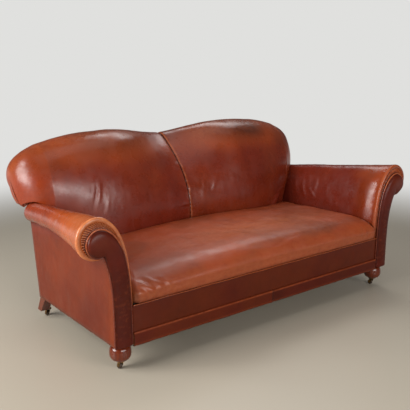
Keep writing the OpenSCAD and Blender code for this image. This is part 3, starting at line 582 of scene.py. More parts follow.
world = bpy.data.worlds.new("world")
scene.world = world
world.use_nodes = True
nt = world.node_tree
sky = nt.nodes["Background"]
feed(nt, sky, {"Color": (0.94, 0.97, 1.0, 1), "Strength": 0.11})
seen = node(nt, "Background", {"Color": backdrop_colour, "Strength": 1.0})
from_camera = nt.nodes.new("ShaderNodeLightPath").outputs["Is Camera Ray"]
world_mix = node(nt, "MixShader", {0: from_camera, 1: sky.outputs[0], 2: seen.outputs[0]})
nt.links.new(world_mix.outputs[0], nt.nodes["World Output"].inputs["Surface"])


def lamp(name, at, target, size, power, colour):
    data = bpy.data.lights.new(name, "AREA")
    data.shape = "RECTANGLE"
    data.size, data.size_y = size
    data.energy = power
    data.color = colour
    ob = put(name, data)
    ob.location = at
    ob.rotation_euler = (Vector(target) - Vector(at)).to_track_quat("-Z", "Y").to_euler()
    ob.visible_camera = False


lamp("window_left", (-3.5, 0.15, 1.5), (0, 0, 0.5), (1.9, 1.3), 122, (1.0, 0.99, 0.97))
lamp("window_high", (-2.9, 0.8, 2.6), (0.7, -0.3, 0.5), (0.9, 0.6), 28, (1.0, 1.0, 1.0))
lamp("window_front", (-0.3, -4.0, 1.65), (0, 0, 0.45), (3.2, 1.1), 100, (1.0, 0.98, 0.96))
lamp("skylight", (1.7, 1.3, 3.1), (0.2, -0.1, 0.4), (1.8, 1.2), 32, (1.0, 1.0, 1.0))
lamp("ceiling", (0.0, -0.6, 3.4), (0, 0, 0.3), (3.0, 2.0), 16, (1.0, 0.99, 0.98))


# Back: one half, from the centre seam to the round end over the arm
def fullness(u):
    return (1 - cos(pi * u / hump_x)) / 2 if u < hump_x else 1.0


def at_u(pair, u):
    return mix(pair[0], pair[1], fullness(u))


def fall(u):
    return ((u - hump_x) / (back_half_w - hump_x)) ** fall_power


fall_share = log((shoulder_z - lobe_k[1]) / (hump_z - lobe_k[1])) / log(1 - fall(cap_x))


def crest_z(u):
    if u < hump_x:
        return mix(dip_z, hump_z, mix(fullness(u), sin(pi / 2 * u / hump_x), round_share))
    return mix(lobe_k[1], hump_z, (1 - fall(u)) ** fall_share)


def back_r(u):
    return mix(seam_roll_r, back_roll_r, fullness(u))


def back_c(u):
    return np.array([rear_y - back_r(u), crest_z(u) - back_r(u)])


def back_front(u):
    t = min(u / arm_x, 1)
    return mix(face_y, crease_y, t) - back_puff * sin(pi * t ** 1.5)


def post_rear(z):
    z = np.asarray(z, float)
    low = heel_y + knee_back * (z - body_z) / (knee_z - body_z)
    return np.where(z < knee_z, low, knee_y + rake_share * (z - knee_z))


def back_end_a(c, r):
    h = (c[0] - knee_y - shell_gap) * cos(rake) - (c[1] - knee_z) * sin(rake)
    return -degrees(rake) - degrees(acos(-h / r))


def roll_foot(u):
    c, r = back_c(u), back_r(u)
    return min(roll_foot_z, on_circle(c, r, back_end_a(c, r))[1] - 0.001)


low_n, up_n, shut_n = 56, 136, 22
front_n = low_n + up_n


def back_path(u, foot_z=back_foot_z):
    """The back's outline at u, from its foot up the front and round the roll to the outside back."""
    c, r = back_c(u), back_r(u)
    a = at_u((125, 150), u)
    start = on_circle(c, r, a)
    top = start[1] - foot_z
    p = np.array([back_front(u), foot_z])
    bend = [p, p + [-at_u(foot_lean, u), at_u((0.32, 0.36), u) * top],
            start - at_u((0.62, 0.48), u) * top * along(a), start]
    end = [float(post_rear(roll_foot(u))) + shell_gap, roll_foot(u)]
    return np.vstack([cubic(bend, 90), on_circle(c, r, np.linspace(a, back_end_a(c, r), 90))[1:], [end]])


def split_at(path, z):
    """The front of a path below and above the height z."""
    k = int(np.argmax(path[:, 1] > z))
    t = (z - path[k - 1, 1]) / (path[k, 1] - path[k - 1, 1])
    cut = mix(path[k - 1], path[k], t)
    return np.vstack([path[:k], cut]), np.vstack([cut, path[k:]])


def ring_of(low, up, shut):
    return np.vstack([even(low, low_n + 1)[:-1], even(up, up_n), even(shut, shut_n + 2)[1:-1]])


def back_ring(u):
    """Closed section of the back: low front, upper front with the roll, and the rear behind the hessian."""
    path = back_path(u)
    low, up = split_at(path, lobe_foot_z + arm_clear)
    end, p = path[-1], path[0]
    rear = [float(post_rear(back_foot_z)) - 0.03, back_foot_z + 0.004]
    return ring_of(low, up, np.array([end, [end[0] - 0.012, end[1] - 0.004], rear, p]))


def arm_roll(c, r, inset, end_a):
    lift = arm_rise_share * (on_circle(c, r, arm_start_a)[1] - arm_foot_z)
    return roll_path((arm_x + inset, arm_foot_z), lift, c, r - inset, arm_start_a, end_a, arm_sweep_share * r)


def arm_section(y, inset=0.0):
    """The arm's outline at y, with the middle and the radius of its scroll."""
    t = min(max((arm_y1 - y) / (arm_y1 - arm_y0), 0), 1)
    r = tail_r + (scroll_r - tail_r) * t ** flare
    c = (panel_x - tail_in + (scroll_out + tail_in) * t, mix(tail_top_z, arm_top_z, t) - r)
    end_a = -degrees(acos((panel_x + end_gap - c[0]) / r))
    return arm_roll(c, r, inset, end_a), c, r


tail, tail_c, tail_end_r = arm_section(crease_y)
tail = tail[tail[:, 0] < tail_c[0]]


def tail_top(x):
    """Height of the arm's tail under the round end."""
    past = min(max(x - tail_c[0], 0), tail_end_r)
    return np.interp(x, tail[:, 0], tail[:, 1]) - tail_end_r + sqrt(tail_end_r ** 2 - past ** 2)


end_path = back_path(half_x1)


def lobe_share(x):
    """How far the section is drawn in about its middle where the round end stands at x."""
    return (crest_z(x) - lobe_k[1]) / (crest_z(half_x1) - lobe_k[1])


def lobe_ring(a):
    """Section of the round end at the angle a. Its low part runs forward along its underside."""
    x = mix(half_x1, back_half_w, sin(radians(a))) + 0.0001
    k = lobe_share(x)
    drop = (lobe_k[1] - lobe_foot_z) * k ** lobe_full
    low = max(tail_top(x), lobe_k[1] - drop)
    foot = max(lobe_k[1] - (lobe_k[1] - arm_clear - low) / k, back_foot_z + 0.002)
    up = lobe_k + (split_at(end_path, foot)[1] - lobe_k) * k
    front, end = up[0], up[-1]
    hang = ease((x - panel_x + 0.020) / 0.03)
    rear_z = mix(front[1], min(front[1], lobe_k[1] - 0.9 * drop), hang)
    rear_y = end[0] - 0.012 * k
    rear = np.array([mix(min(rear_y, float(post_rear(rear_z)) - 0.004), rear_y, hang), rear_z])
    heel = min(float(post_rear(front[1])) - 0.004, rear[0] - 0.004)
    bend = [rear, [heel, mix(rear[1], front[1], 0.15)], [heel - 0.014, front[1] - 0.003], front]
    under = round_path(bend, 40)
    q = ring_of(under, up, np.array([end, [end[0] - 0.004 * k, end[1] - 0.006 * k], rear]))
    return np.column_stack([np.full(len(q), x), q])


seam_dip = 0.006
seam_w = 0.00625
seam_x = 0.0004


def back_rings():
    xs = np.r_[seam_x + np.array([0, 0.0012, 0.0028, 0.005, 0.008, 0.012]), np.linspace(0.018, half_x1, 96)]
    rings = [np.column_stack([np.full(front_n + shut_n, x), back_ring(x)]) for x in xs]
    lobes = [lobe_ring(a) for a in np.r_[0, np.linspace(2, 87, 52)]]
    return np.array(rings + lobes), len(xs)


def level_joint(rings, joint):
    """Evens the face near the row where the round end begins."""
    # the joint's two rows stand in one place, so the first is left out
    kept = np.delete(np.arange(len(rings)), joint)
    cols = slice(low_n, front_n)
    rows = rings[kept]
    near = (bump(rows[:, :1, 0] - half_x1, 0.05) * ease(np.arange(up_n) / 20))[1:-1, :, None]
    for _ in range(90):
        level = (rows[:-2] + 2 * rows[1:-1] + rows[2:]) / 4
        rows[1:-1, cols, 1:] += near * (level - rows[1:-1])[:, cols, 1:]
    rings[kept] = rows
    rings[joint, cols, 1:] = rings[joint - 1, cols, 1:]


def back_half(side, word):
    rings, straight = back_rings()
    level_joint(rings, straight)
    face = rings[:, :front_n]
    x, z = face[..., 0], face[..., 2]
    v = np.arange(front_n)[None, :] / front_n
    under = (x > half_x1) & (np.arange(front_n) < low_n)
    free = ease(v / 0.03) * ease((1 - v) / 0.03) * ~under
    # long soft folds, as the hide lies over its stuffing
    p = on_side(face, side)
    slow = field(p * (1, 1, 0.5), 5.0, 3.0 * side)
    fine = field(p * (1, 1, 0.35), 17.0, 7.0 * side)
    out = -seam_dip * np.exp(-(x - seam_x) / seam_w)
    out = out + free * (0.0028 * slow + 0.0012 * ease((0.74 - z) / 0.2) * fine)
    for row in back_creases[side]:
        out = out + free * crease(p, row)
    rings = rings.copy()
    rings[:, :front_n] = face + grid_normals(face, (0.3, -3.0, 1.2)) * out[..., None]
    pinned = np.zeros(rings.shape[:2])
    pinned[:, front_n - 6:] = 1
    pinned[:, :3] = 1
    pinned[straight:, :low_n + 3] = 1
    pinned[:2] = 1
    tip = (back_half_w, lobe_k[0], lobe_k[1])
    held = ease((half_x1 - 0.01 - rings[..., :1]) / 0.08) * ease((0.72 - rings[..., 2:]) / 0.1)
    rings = on_side(rings + folds(rings, pinned, (None, tip), 0.8) * held, side)
    red = 0.72 - 0.75 * ease((z - 0.64) / 0.12) + 0.25 * slow - 0.5 * ease((x - 0.66) / 0.12)
    # painted shade: dark in the groove of the centre seam and low down where the back meets the seat
    dark = 0.75 * np.exp(-(x - seam_x) / 0.004) + 0.35 * ease((0.40 - z) / 0.1) + 0.10 * (side > 0)
    # painted shade: the tops of the crest and of the round ends are darker, as little light falls on them
    # from above
    dark = dark + 0.44 * ease((z - 0.69) / 0.09) * ease((0.68 - x) / 0.2)
    dark = dark + 0.36 * ease((x - 0.6) / 0.1) * ease((z - 0.62) / 0.08)
    # painted shade along the foot of the front, where it tucks down to the seat
    dark = dark + 0.55 * ease((0.03 - v) / 0.03) * (x < half_x1)
    for at, w, amount in back_stains[side]:
        dark = dark + amount * np.exp(-np.sum(((p - at) / w) ** 2, -1))
    wear_and_sheen = 0.22 * bump(v - 0.62, 0.1) * ease((x - 0.04) / 0.16)
    wear_and_sheen = wear_and_sheen + (0.7 if side > 0 else 0.1) * bump(x - 0.008, 0.003)
    ob = mesh_object("back_" + word, loft(rings, (None, on_side(tip, side))), hide)
    paint_face(ob, rings.shape[:2], red, dark, wear_and_sheen)
    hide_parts("inside_back_" + word, "back_stuffing_" + word)


# Fold lines of the back in millimetres: places, width and depth. Stains in metres: place, size and amount
back_creases = {
    -1: [
        (-505, 150, 640, -530, 140, 540, -550, 135, 470, 7, 4.6),
        (-535, 150, 600, -560, 150, 530, -575, 150, 480, 6, 3.6),
        (-455, 130, 630, -480, 120, 540, -505, 120, 460, 8, 4),
        (-415, 120, 600, -430, 110, 530, -450, 110, 460, 6, 3),
        (-370, 110, 600, -395, 100, 520, -425, 100, 440, 8, 3.6),
        (-310, 100, 580, -345, 90, 510, -380, 90, 440, 8, 3),
        (-260, 100, 570, -280, 90, 500, -310, 90, 430, 7, 2.2),
        (-580, 170, 620, -610, 170, 560, -630, 180, 510, 6, 3),
        (-700, 220, 610, -650, 190, 580, -610, 170, 580, 5, 2),
        (-690, 210, 570, -650, 190, 550, -620, 180, 560, 5, 1.8),
        (-490, 140, 570, -500, 130, 510, -520, 130, 470, 4, 1.8),
        (-140, 130, 600, -160, 110, 500, -180, 110, 420, 7, 2.2),
        (-300, 220, 700, -240, 200, 670, -180, 190, 620, 10, 2)],
    1: [
        (260, 170, 680, 190, 150, 590, 130, 130, 490, 10, 6),
        (170, 180, 670, 120, 160, 600, 80, 150, 510, 8, 4.4),
        (330, 150, 660, 270, 120, 580, 210, 110, 490, 9, 4.4),
        (100, 210, 700, 70, 190, 640, 50, 170, 560, 7, 3.2),
        (220, 150, 600, 170, 130, 540, 130, 120, 460, 5, 2.4),
        (400, 130, 620, 380, 100, 550, 370, 90, 460, 10, 3.2),
        (520, 150, 660, 550, 140, 580, 580, 150, 500, 10, 3.2),
        (620, 200, 680, 640, 190, 620, 660, 190, 560, 8, 3.8),
        (560, 170, 660, 600, 170, 600, 640, 180, 540, 6, 2.6),
        (440, 240, 760, 360, 240, 775, 280, 260, 770, 9, 1.4)],
}
back_stains = {
    -1: [((-0.30, 0.12, 0.55), (0.30, 0.3, 0.09), 0.10), ((-0.10, 0.2, 0.66), (0.10, 0.2, 0.05), 0.18)],
    1: [((0.50, 0.24, 0.765), (0.10, 0.10, 0.04), 0.36), ((0.40, 0.24, 0.79), (0.18, 0.10, 0.04), 0.22),
        ((0.56, 0.14, 0.52), (0.2, 0.3, 0.12), 0.18)],
}
for side, word in SIDES:
    back_half(side, word)


# Outside back: one flat hide on the posts, its top edge under the roll
def shell_top(x):
    x = abs(x)
    if x < half_x1:
        return roll_foot(x) - 0.005
    return lobe_k[1] - 0.005 - (lobe_k[1] - roll_foot(half_x1)) * lobe_share(x)


shell_low, shell_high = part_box("outside_back")
xs = np.linspace(shell_low.x, shell_high.x, 121)
up = np.linspace(0, 1, 46)
grid = []
for x in xs:
    z = mix(body_z, min(shell_top(x), roll_foot_z) + 0.012, up)
    grid.append(np.column_stack([np.full(len(z), x), post_rear(z) + lay + panel_t, z]))
grid = np.array(grid)
edge = ease((shell_high.x - abs(grid[..., 0])) / 0.05) * ease((grid[..., 2] - body_z) / 0.04)
edge = edge * ease((1 - up) / 0.08)
grid[..., 1] += 0.006 * edge + 0.0012 * edge * field(grid, 6.0, 0.0)
inner = grid.copy()
inner[..., 1] -= 0.0028 + 0.006 * edge
ob = mesh_object("outside_back_hide", strip_loft(grid, inner), hide_side)
paint_sheet(ob, 0.55 + 0.3 * field(grid, 3.0, 9.0, 2), 0.35 * (1 - edge), 0.2 * (1 - edge))
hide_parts("outside_back")


# Arms
roll_n, rim_r = 150, 0.008
rim_y = arm_y0 - 0.010
arm_wall = 0.017


def arm_rows():
    """Rows of an arm from the rounded rim at the front to the tail under the back."""
    rows = []
    for a in np.linspace(90, 0, 8):
        s, c = sin(radians(a)), cos(radians(a))
        rows.append((rim_y + rim_r * (1 - s), rim_y, rim_r * (1 - c)))
    for y in np.r_[np.linspace(rim_y + rim_r, rim_y + 0.05, 12), np.linspace(rim_y + 0.055, arm_y1, 84)]:
        rows.append((y, y, 0.0))
    return rows


def arm(side, word):
    left = side < 0
    outer, inner = [], []
    for y, at, inset in arm_rows():
        sec, c, _ = arm_section(at, inset)
        sec = even(sec, roll_n)
        deep = even(arm_section(at, arm_wall)[0], roll_n)
        # the tail is closed: its wall thickens towards the middle of the roll
        shut = ease((at - arm_y1 + 0.03) / 0.03) * ease((sec[:, 1:] - c[1] + 0.02) / 0.02)
        deep = mix(deep, np.array(c) + [0, -0.004], shut)
        room = post_rear(sec[:, 1]) - 0.006 - arm_y0
        yy = arm_y0 + (y - arm_y0) * np.where(y > arm_y0, np.minimum(1, room / (arm_y1 - arm_y0)), 1.0)
        outer.append(np.column_stack([sec[:, 0], yy, sec[:, 1]]))
        inner.append(np.column_stack([deep[:, 0], yy, deep[:, 1]]))
    outer, inner = np.array(outer), np.array(inner)
    v = np.arange(roll_n)[None, :] / roll_n
    rows = np.arange(len(outer))[:, None]
    across = ease(v / 0.05) * ease((1 - v) / 0.03)
    free = across * ease(rows / 10) * ease((len(outer) - 1 - rows) / 6)
    p = on_side(outer, side)
    slow = field(p * (1, 0.6, 1), 7.0, 11.0 * side)
    fine = field(p * (0.6, 1.6, 0.6), 20.0, 5.0 * side)
    out = free * (0.0022 * slow + 0.0008 * fine)
    # the hide is drawn in at the front, where it turns over the rim, and swells behind it
    y_rim = outer[..., 1] - rim_y
    out = out + 0.0018 * bump(y_rim - 0.009, 0.009) * across
    out = out + free * 0.0005 * np.sin(v * 170 + 3 * slow) * bump(y_rim - 0.022, 0.012)
    out = out + 0.011 * bump(y_rim - 0.078, 0.042) * ease(v / 0.12) * ease((0.62 - v) / 0.2)
    for row in arm_creases:
        out = out + free * crease(outer, row) * (0.8 if left else 1.0)
    outer = outer + grid_normals(outer, (0.0, 0.0, 1.5)) * out[..., None]
    y, z = outer[..., 1], outer[..., 2]
    tops = bump(v - 0.62, 0.16)
    near = ease((-0.2 - y) / 0.2)
    red = 0.75 - 0.4 * near + 0.3 * slow - 0.25 * tops
    # painted shade low on the inside beside the seat, under the roll's outer end and where the rim turns in
    # to the gathers
    dark = 0.3 * ease((0.42 - z) / 0.15) * (v < 0.5) + 0.6 * ease((v - 0.93) / 0.07) + 0.4 * bump(rows, 1.6)
    # rubbed wear and a painted highlight on the rim, and on the top of the roll near the front, both
    # strongest on the left arm
    wear_and_sheen = (0.62 if left else 0.35) * bump(y_rim - 0.006, 0.008) + (0.3 if left else 0.05) * tops * near
    if left:
        red = red - 0.35 * ease((v - 0.55) / 0.2) + 0.5 * ease((y_rim - 0.2) / 0.2)
    else:
        red = red + 0.35 * (1 - near)
        dark = dark + 0.22 * ease((0.80 - v) / 0.2) * ease((y_rim - 0.03) / 0.05)
    ob = mesh_object("arm_" + word, strip_loft(outer, inner, side), hide_tan if left else hide)
    paint_sheet(ob, red, dark, wear_and_sheen, back=0)
    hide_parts("inside_arm_" + word, "arm_stuffing_" + word)


arm_creases = [
    (730, 100, 540, 722, 70, 500, 716, 60, 440, 714, 30, 380, 8, 6.6),
    (740, 50, 560, 730, 30, 510, 718, 20, 460, 7, 5.8),
    (735, 130, 530, 722, 120, 470, 715, 100, 400, 7, 4.4),
    (730, -20, 530, 720, -30, 470, 715, -20, 410, 9, 4.2),
    (722, 30, 470, 717, 0, 430, 714, -40, 390, 7, 5),
    (730, -100, 520, 720, -110, 460, 715, -120, 400, 12, 1.8)]
for side, word in SIDES:
    arm(side, word)


# Gathered band between the rim of the arm and the piping
def pad_edge(out_t):
    """Inner edge of the front pad and its round head, moved out by out_t."""
    r = head_r + out_t
    end = neck_top(out_t) - head_c
    lift = 0.6 * (on_circle(head_c, r, head_start_a)[1] - arm_foot_z)
    a1 = degrees(atan2(end[1], end[0]))
    return roll_path((arm_x + pad_in_x - out_t, arm_foot_z), lift, head_c, r, head_start_a, a1, 1.7 * r)


head_end = on_circle(head_c, head_r, head_end_a)
neck_foot = np.array([panel_x, body_z])
neck_straight = 0.74
neck_rise = head_end[1] - body_z
neck_way = head_end - neck_foot - [0, neck_straight * neck_rise]
neck_normal = np.array([neck_way[1], -neck_way[0]]) / np.linalg.norm(neck_way)
head_normal = on_circle((0, 0), 1, head_end_a)


def neck_top(out_t):
    return head_end + out_t * (neck_normal + head_normal) / (1 + neck_normal @ head_normal)


def neck_edge(out_t, n):
    foot = neck_foot + [out_t, 0]
    bend = [foot + [0, share * neck_rise] for share in (0, 0.59, neck_straight)]
    return cubic(bend + [neck_top(out_t)], n)


gather_pitch = 0.0085
band_n, band_rows = 420, 14
far_end_a = -103


def band(side, word):
    near = even(pad_edge(piping_out + piping_r * 0.4), band_n)
    c, r = arm_section(rim_y)[1:]
    far = even(arm_roll(c, r, rim_r, far_end_a), band_n)
    run = np.r_[0, np.cumsum(np.linalg.norm(np.diff(near, axis=0), axis=1))]
    head_on = ease((near[:, 1] - 0.40) / 0.05)
    wave = np.cos(2 * pi * run / gather_pitch + 0.9 * np.sin(run * 83) + 0.5 * np.sin(run * 211))
    pleat = np.sign(wave) * np.abs(wave) ** 0.7
    outer = []
    for s in np.linspace(0, 1, band_rows):
        at = mix(far, near, s)
        y = rim_y + 0.0045 * sin(pi * s) ** 0.7 - 0.004 * s ** 2
        deep = 0.0042 * sin(pi * min(1, s * 1.1)) ** 0.7
        yy = y + head_on * deep * pleat + (1 - head_on) * 0.0005 * np.sin(run * 140)
        outer.append(np.column_stack([at[:, 0], yy, at[:, 1]]))
    outer = np.array(outer)
    rows = np.linspace(0, 1, band_rows)[:, None]
    # painted shade in the grooves of the pleats and along the edge by the piping; painted highlight on the
    # ridges of the pleats
    groove = head_on * 0.5 * (1 + wave)
    dark = 0.55 * groove * np.sin(pi * rows) ** 0.4 + 0.6 * ease((rows - 0.7) / 0.3)
    wear_and_sheen = 0.9 * (1 - groove) * bump(rows - 0.35, 0.4)
    shape = strip_loft(outer, outer + (0, hide_t, 0), side)
    ob = mesh_object("gathers_" + word, shape, hide_tan if side < 0 else hide)
    paint_sheet(ob, 0.3, dark, wear_and_sheen)
    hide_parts("gathered_band_" + word)


def tube(path, r, sides=10):
    """A round tube along a path, as rings."""
    t = np.gradient(path, axis=0)
    t /= np.linalg.norm(t, axis=1, keepdims=True)
    a = np.cross(t, (0, 1, 0) if abs(t[:, 1]).max() < 0.9 else (1, 0, 0))
    a /= np.linalg.norm(a, axis=1, keepdims=True)
    b = np.cross(a, t)
    w = 2 * pi * np.arange(sides)[None, :, None] / sides
    r = np.broadcast_to(r, (len(path),))[:, None, None]
    return path[:, None] + r * (np.cos(w) * a[:, None] + np.sin(w) * b[:, None])


def piping(side, word):
    n = 260
    neck = neck_edge(piping_out, 60)[-2::-1]
    path = even(np.vstack([[[arm_x + pad_in_x - piping_out, body_z]], pad_edge(piping_out), neck]), n)
    path = np.column_stack([path[:, 0], np.full(n, pad_y + 0.001), path[:, 1]])
    ripple = 1 + 0.03 * np.sin(np.arange(n) * 1.7)
    rings = on_side(tube(path, piping_r * 0.8 * ripple), side)
    ob = mesh_object("piping_" + word, loft(rings), hide)
    top = ease((rings[..., 2] - 0.48) / 0.06)
    paint(ob, np.full(top.shape, 0.5), 0.45 - 0.4 * top, 0.6 * top)
    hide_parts("pad_piping_" + word)


def front_pad(side, word):
    """Padded facing of the arm: a long strip that ends in a round domed head."""
    cols, strip_rows, head_rows = 41, 80, 34
    s = np.linspace(0, 1, cols)
    left = even(np.vstack([[[arm_x + pad_in_x, body_z]], pad_edge(0)[:50]]), strip_rows)
    right = even(neck_edge(0, 120), strip_rows)
    puffs = mix(strip_puff, head_puff, np.linspace(0, 1, strip_rows) ** 2.2)
    rows = list(zip(left, right, puffs))
    a0 = degrees(atan2(*(left[-1] - head_c)[::-1]))
    for k in range(1, head_rows):
        q = k / head_rows
        a, b = (on_circle(head_c, head_r, mix(start, head_tip_a, q)) for start in (a0, head_end_a))
        rows.append((a, b, head_puff * sqrt(1 - q ** 3.2)))
    dome = (1 - np.abs(2 * s - 1) ** 2.6) ** 0.5
    outer = []
    for a, b, puff in rows:
        w = mix(a, b, s[:, None])
        outer.append(np.column_stack([w[:, 0], pad_y - puff * dome, w[:, 1]]))
    outer = np.array(outer)
    inner = outer.copy()
    inner[..., 1] = pad_y + 0.0005
    p = on_side(outer, side)
    z = outer[..., 2]
    slow = field(p, 12.0, 2.0 * side)
    mid = np.sin(pi * s)[None, :] ** 0.7
    strip = ease((0.45 - z) / 0.06) * ease((z - 0.13) / 0.03)
    lift = mid * 0.0014 * slow
    for z0, tilt, d in pad_lines:
        lift = lift - mid * strip * d * bump(z + tilt * (outer[..., 0] - arm_x) - z0, 0.0022)
    spots = strip * (field(p * (3, 1, 9), 12.0, 4.0, 2) > 0.35)
    outer[..., 1] -= lift
    dark = 0.45 * (1 - mid) ** 2 + 0.25 * strip
    wear_and_sheen = 0.16 * spots + 0.1 * bump(z - 0.55, 0.04) * mid
    ob = mesh_object("front_pad_" + word + "_hide", strip_loft(outer, inner, side), hide_dark)
    paint_sheet(ob, 0.8 + 0.25 * slow, dark, wear_and_sheen)
    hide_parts("front_pad_" + word)


# Fine creases across the strip: height, slant and depth
pad_lines = [(0.20 + 0.013 * k + 0.005 * sin(5.1 * k), 0.5 * sin(2.3 * k + 1),
              0.0009 + 0.0005 * sin(3.7 * k)) for k in range(15)]
for side, word in SIDES:
    band(side, word)
    piping(side, word)
    front_pad(side, word)


# Outside of the arms
def side_panel(side, word):
    front = pad_y + 0.004
    neck_z = 0.505
    along_y = np.linspace(0, 1, 100)[:, None]
    up = np.linspace(0, 1, 60)[None, :]
    ys = np.linspace(arm_y0, arm_y1 + 0.06, 40)
    tops = [arm_section(min(y, arm_y1))[0][-1, 1] - 0.001 for y in ys]
    ys = np.r_[front, arm_y0 - 0.004, ys]
    tops = np.r_[neck_z - 0.06, neck_z - 0.03, tops]
    y = np.broadcast_to(mix(front, 0.2, along_y), (100, 60))
    for _ in range(6):
        z = mix(body_z, np.interp(y, ys, tops), up)
        y = mix(front, post_rear(z) + 0.0025, along_y)
    grid = np.stack([np.full(y.shape, panel_x), y, z], -1)
    edge = ease(along_y / 0.05) * ease((1 - along_y) / 0.04) * ease(up / 0.05) * ease((1 - up) / 0.12)
    p = on_side(grid, side)
    slow = field(p, 4.0, 6.0 * side)
    fine = field(p * (1, 1.6, 0.7), 14.0, side)
    inner = grid.copy()
    inner[..., 0] = panel_x - panel_t
    grid[..., 0] += edge * (0.005 + 0.0022 * slow + 0.0008 * fine)
    red = 0.55 + 0.5 * slow - 0.3 * bump(along_y - 0.06, 0.06)
    # darker along the bottom and front edges; painted shadow under the scroll, at the top edge and broadly
    # towards the front
    dark = 0.25 * (1 - ease(up / 0.08)) + 0.4 * ease((up - 0.93) / 0.07) + 0.3 * ease((0.02 - along_y) / 0.02)
    dark = dark + 0.45 * ease((up - 0.70) / 0.3) * ease((0.45 - along_y) / 0.35)
    wear_and_sheen = 0.2 * bump(along_y - 0.02, 0.02) + 0.15 * (1 - ease(up / 0.03))
    ob = mesh_object("outside_arm_" + word + "_hide", strip_loft(grid, inner, side), hide_side)
    paint_sheet(ob, red, dark, wear_and_sheen)
    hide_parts("outside_arm_" + word)


for side, word in SIDES:
    side_panel(side, word)


# Seat
# places on its section: share of the depth, share of the height and bulge of the nose
seat_profile = np.array([[0, 0, 0], [0, 0.12, 0.5], [0, 0.28, 0.9], [0, 0.46, 1], [0.02, 0.66, 0.4],
                         [0.055, 0.81, 0], [0.11, 0.93, 0], [0.2, 0.99, 0], [0.38, 1, 0], [0.7, 1, 0],
                         [1, 1, 0]])
seat_top_n, seat_low_n, seat_rows = 190, 24, 191


def seat_ring(x):
    u = abs(x)
    top = mix(crown_z, seat_side_z, min(u / arm_x, 1) ** 2.4)
    y0, y1 = pad_y, back_front(u) - 0.5 * at_u(foot_lean, u) - seat_gap
    pts = np.column_stack([mix(y0, y1, seat_profile[:, 0]) - nose * seat_profile[:, 2],
                           mix(seam_z, top, seat_profile[:, 1]) - seat_fall * seat_profile[:, 0] ** 2])
    low = [pts[-1], [y1 - 0.004, seam_z - 0.004], [y0 + 0.006, seam_z - 0.004], pts[0]]
    ring = np.vstack([round_path(pts, seat_top_n), even(low, seat_low_n + 2)[1:-1]])
    return np.column_stack([np.full(len(ring), x), ring])


def seat():
    t = np.linspace(-1, 1, seat_rows)
    rings = np.array([seat_ring(x) for x in half_x1 * mix(np.sin(t * pi / 2), t, 0.8)])
    face = rings[:, :seat_top_n]
    x = face[..., 0]
    v = np.arange(seat_top_n)[None, :] / seat_top_n
    free = ease(v / 0.025) * ease((1 - v) / 0.03)
    slow = field(face * (0.8, 1, 1), 4.5, 1.5)
    fine = field(face * (1, 0.6, 1), 18.0, 8.5)
    out = free * (0.0030 * slow + 0.0008 * fine)
    # the ends of the seat are drawn down beside the arms
    out = out - 0.010 * (1 - ease((half_x1 - abs(x)) / 0.028)) ** 2
    for row in seat_creases:
        out = out + free * crease(face, row)
    rings = rings.copy()
    rings[:, :seat_top_n] = face + grid_normals(face, (0, -0.5, 3.0)) * out[..., None]
    rings[..., 0] = np.clip(rings[..., 0], -half_x1, half_x1)
    pinned = np.zeros(rings.shape[:2])
    pinned[:, seat_top_n - 5:] = 1
    pinned[:, :4] = 1
    pinned[:2] = 1
    pinned[-2:] = 1
    rings = rings + folds(rings, pinned, (None, None), 0.35)
    rings[..., 0] = np.clip(rings[..., 0], -half_x1, half_x1)
    front = ease((0.16 - v) / 0.12)
    red = 0.35 + 0.4 * slow - 0.3 * front - 0.35 * ease((x - 0.45) / 0.2) * ease((0.5 - v) / 0.3)
    # painted shade beside the arms, along the rear edge by the back, in a band where the nose rounds over and
    # at the seam
    dark = 0.5 * (1 - ease((half_x1 - abs(x)) / 0.03)) + 0.35 * ease((v - 0.96) / 0.04)
    dark = dark + 0.30 * bump(v - 0.2, 0.06) * ease((x + 0.1) / 0.5) + 0.3 * bump(v - 0.005, 0.01)
    dark = dark + 0.22 * front + 0.30 * ease(-slow / 0.4) * (1 - front)
    # painted sheen: the paler patch in the middle of the seat; rubbed wear along the front
    wear_and_sheen = 0.14 + 0.12 * front * ease(v / 0.02) + 0.34 * bump(x - 0.1, 0.42) * bump(v - 0.45, 0.2)
    ob = mesh_object("seat", loft(rings), hide_seat)
    paint_face(ob, rings.shape[:2], red, dark, wear_and_sheen)
    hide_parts("seat_cover", "seat_stuffing")


seat_creases = [
    (-690, -460, 330, -660, -478, 310, -640, -477, 280, 10, 6),
    (-660, -430, 355, -625, -472, 325, -605, -477, 285, 9, 6),
    (-600, -450, 350, -575, -474, 320, -565, -477, 285, 8, 4.2),
    (-700, -440, 350, -685, -400, 365, -670, -340, 370, 9, 3),
    (690, -460, 330, 660, -478, 310, 640, -477, 280, 10, 3.2),
    (640, -450, 350, 610, -474, 320, 600, -477, 285, 9, 2.5),
    (50, -50, 390, -40, -30, 388, -100, -30, 387, 10, 1.5),
    (-350, -300, 385, -280, -310, 388, -180, -300, 390, 12, 1.4)]
seat()


# Seat front: welt along the seam, flat border under it, and the covered base strip
welt_n = 220
x = np.linspace(-half_x1 - 0.008, half_x1 + 0.008, welt_n)
path = np.column_stack([x, np.full(welt_n, pad_y - 0.0015), seam_z - 0.0025 + 0.0006 * np.sin(x * 31)])
rings = tube(path, 0.0019, 8)
welt = mesh_object("seat_welt", loft(rings), hide_tan)
paint(welt, *[np.full(rings.shape[:2], q) for q in (0.4, 0.15, 0.15)])
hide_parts("seat_piping")

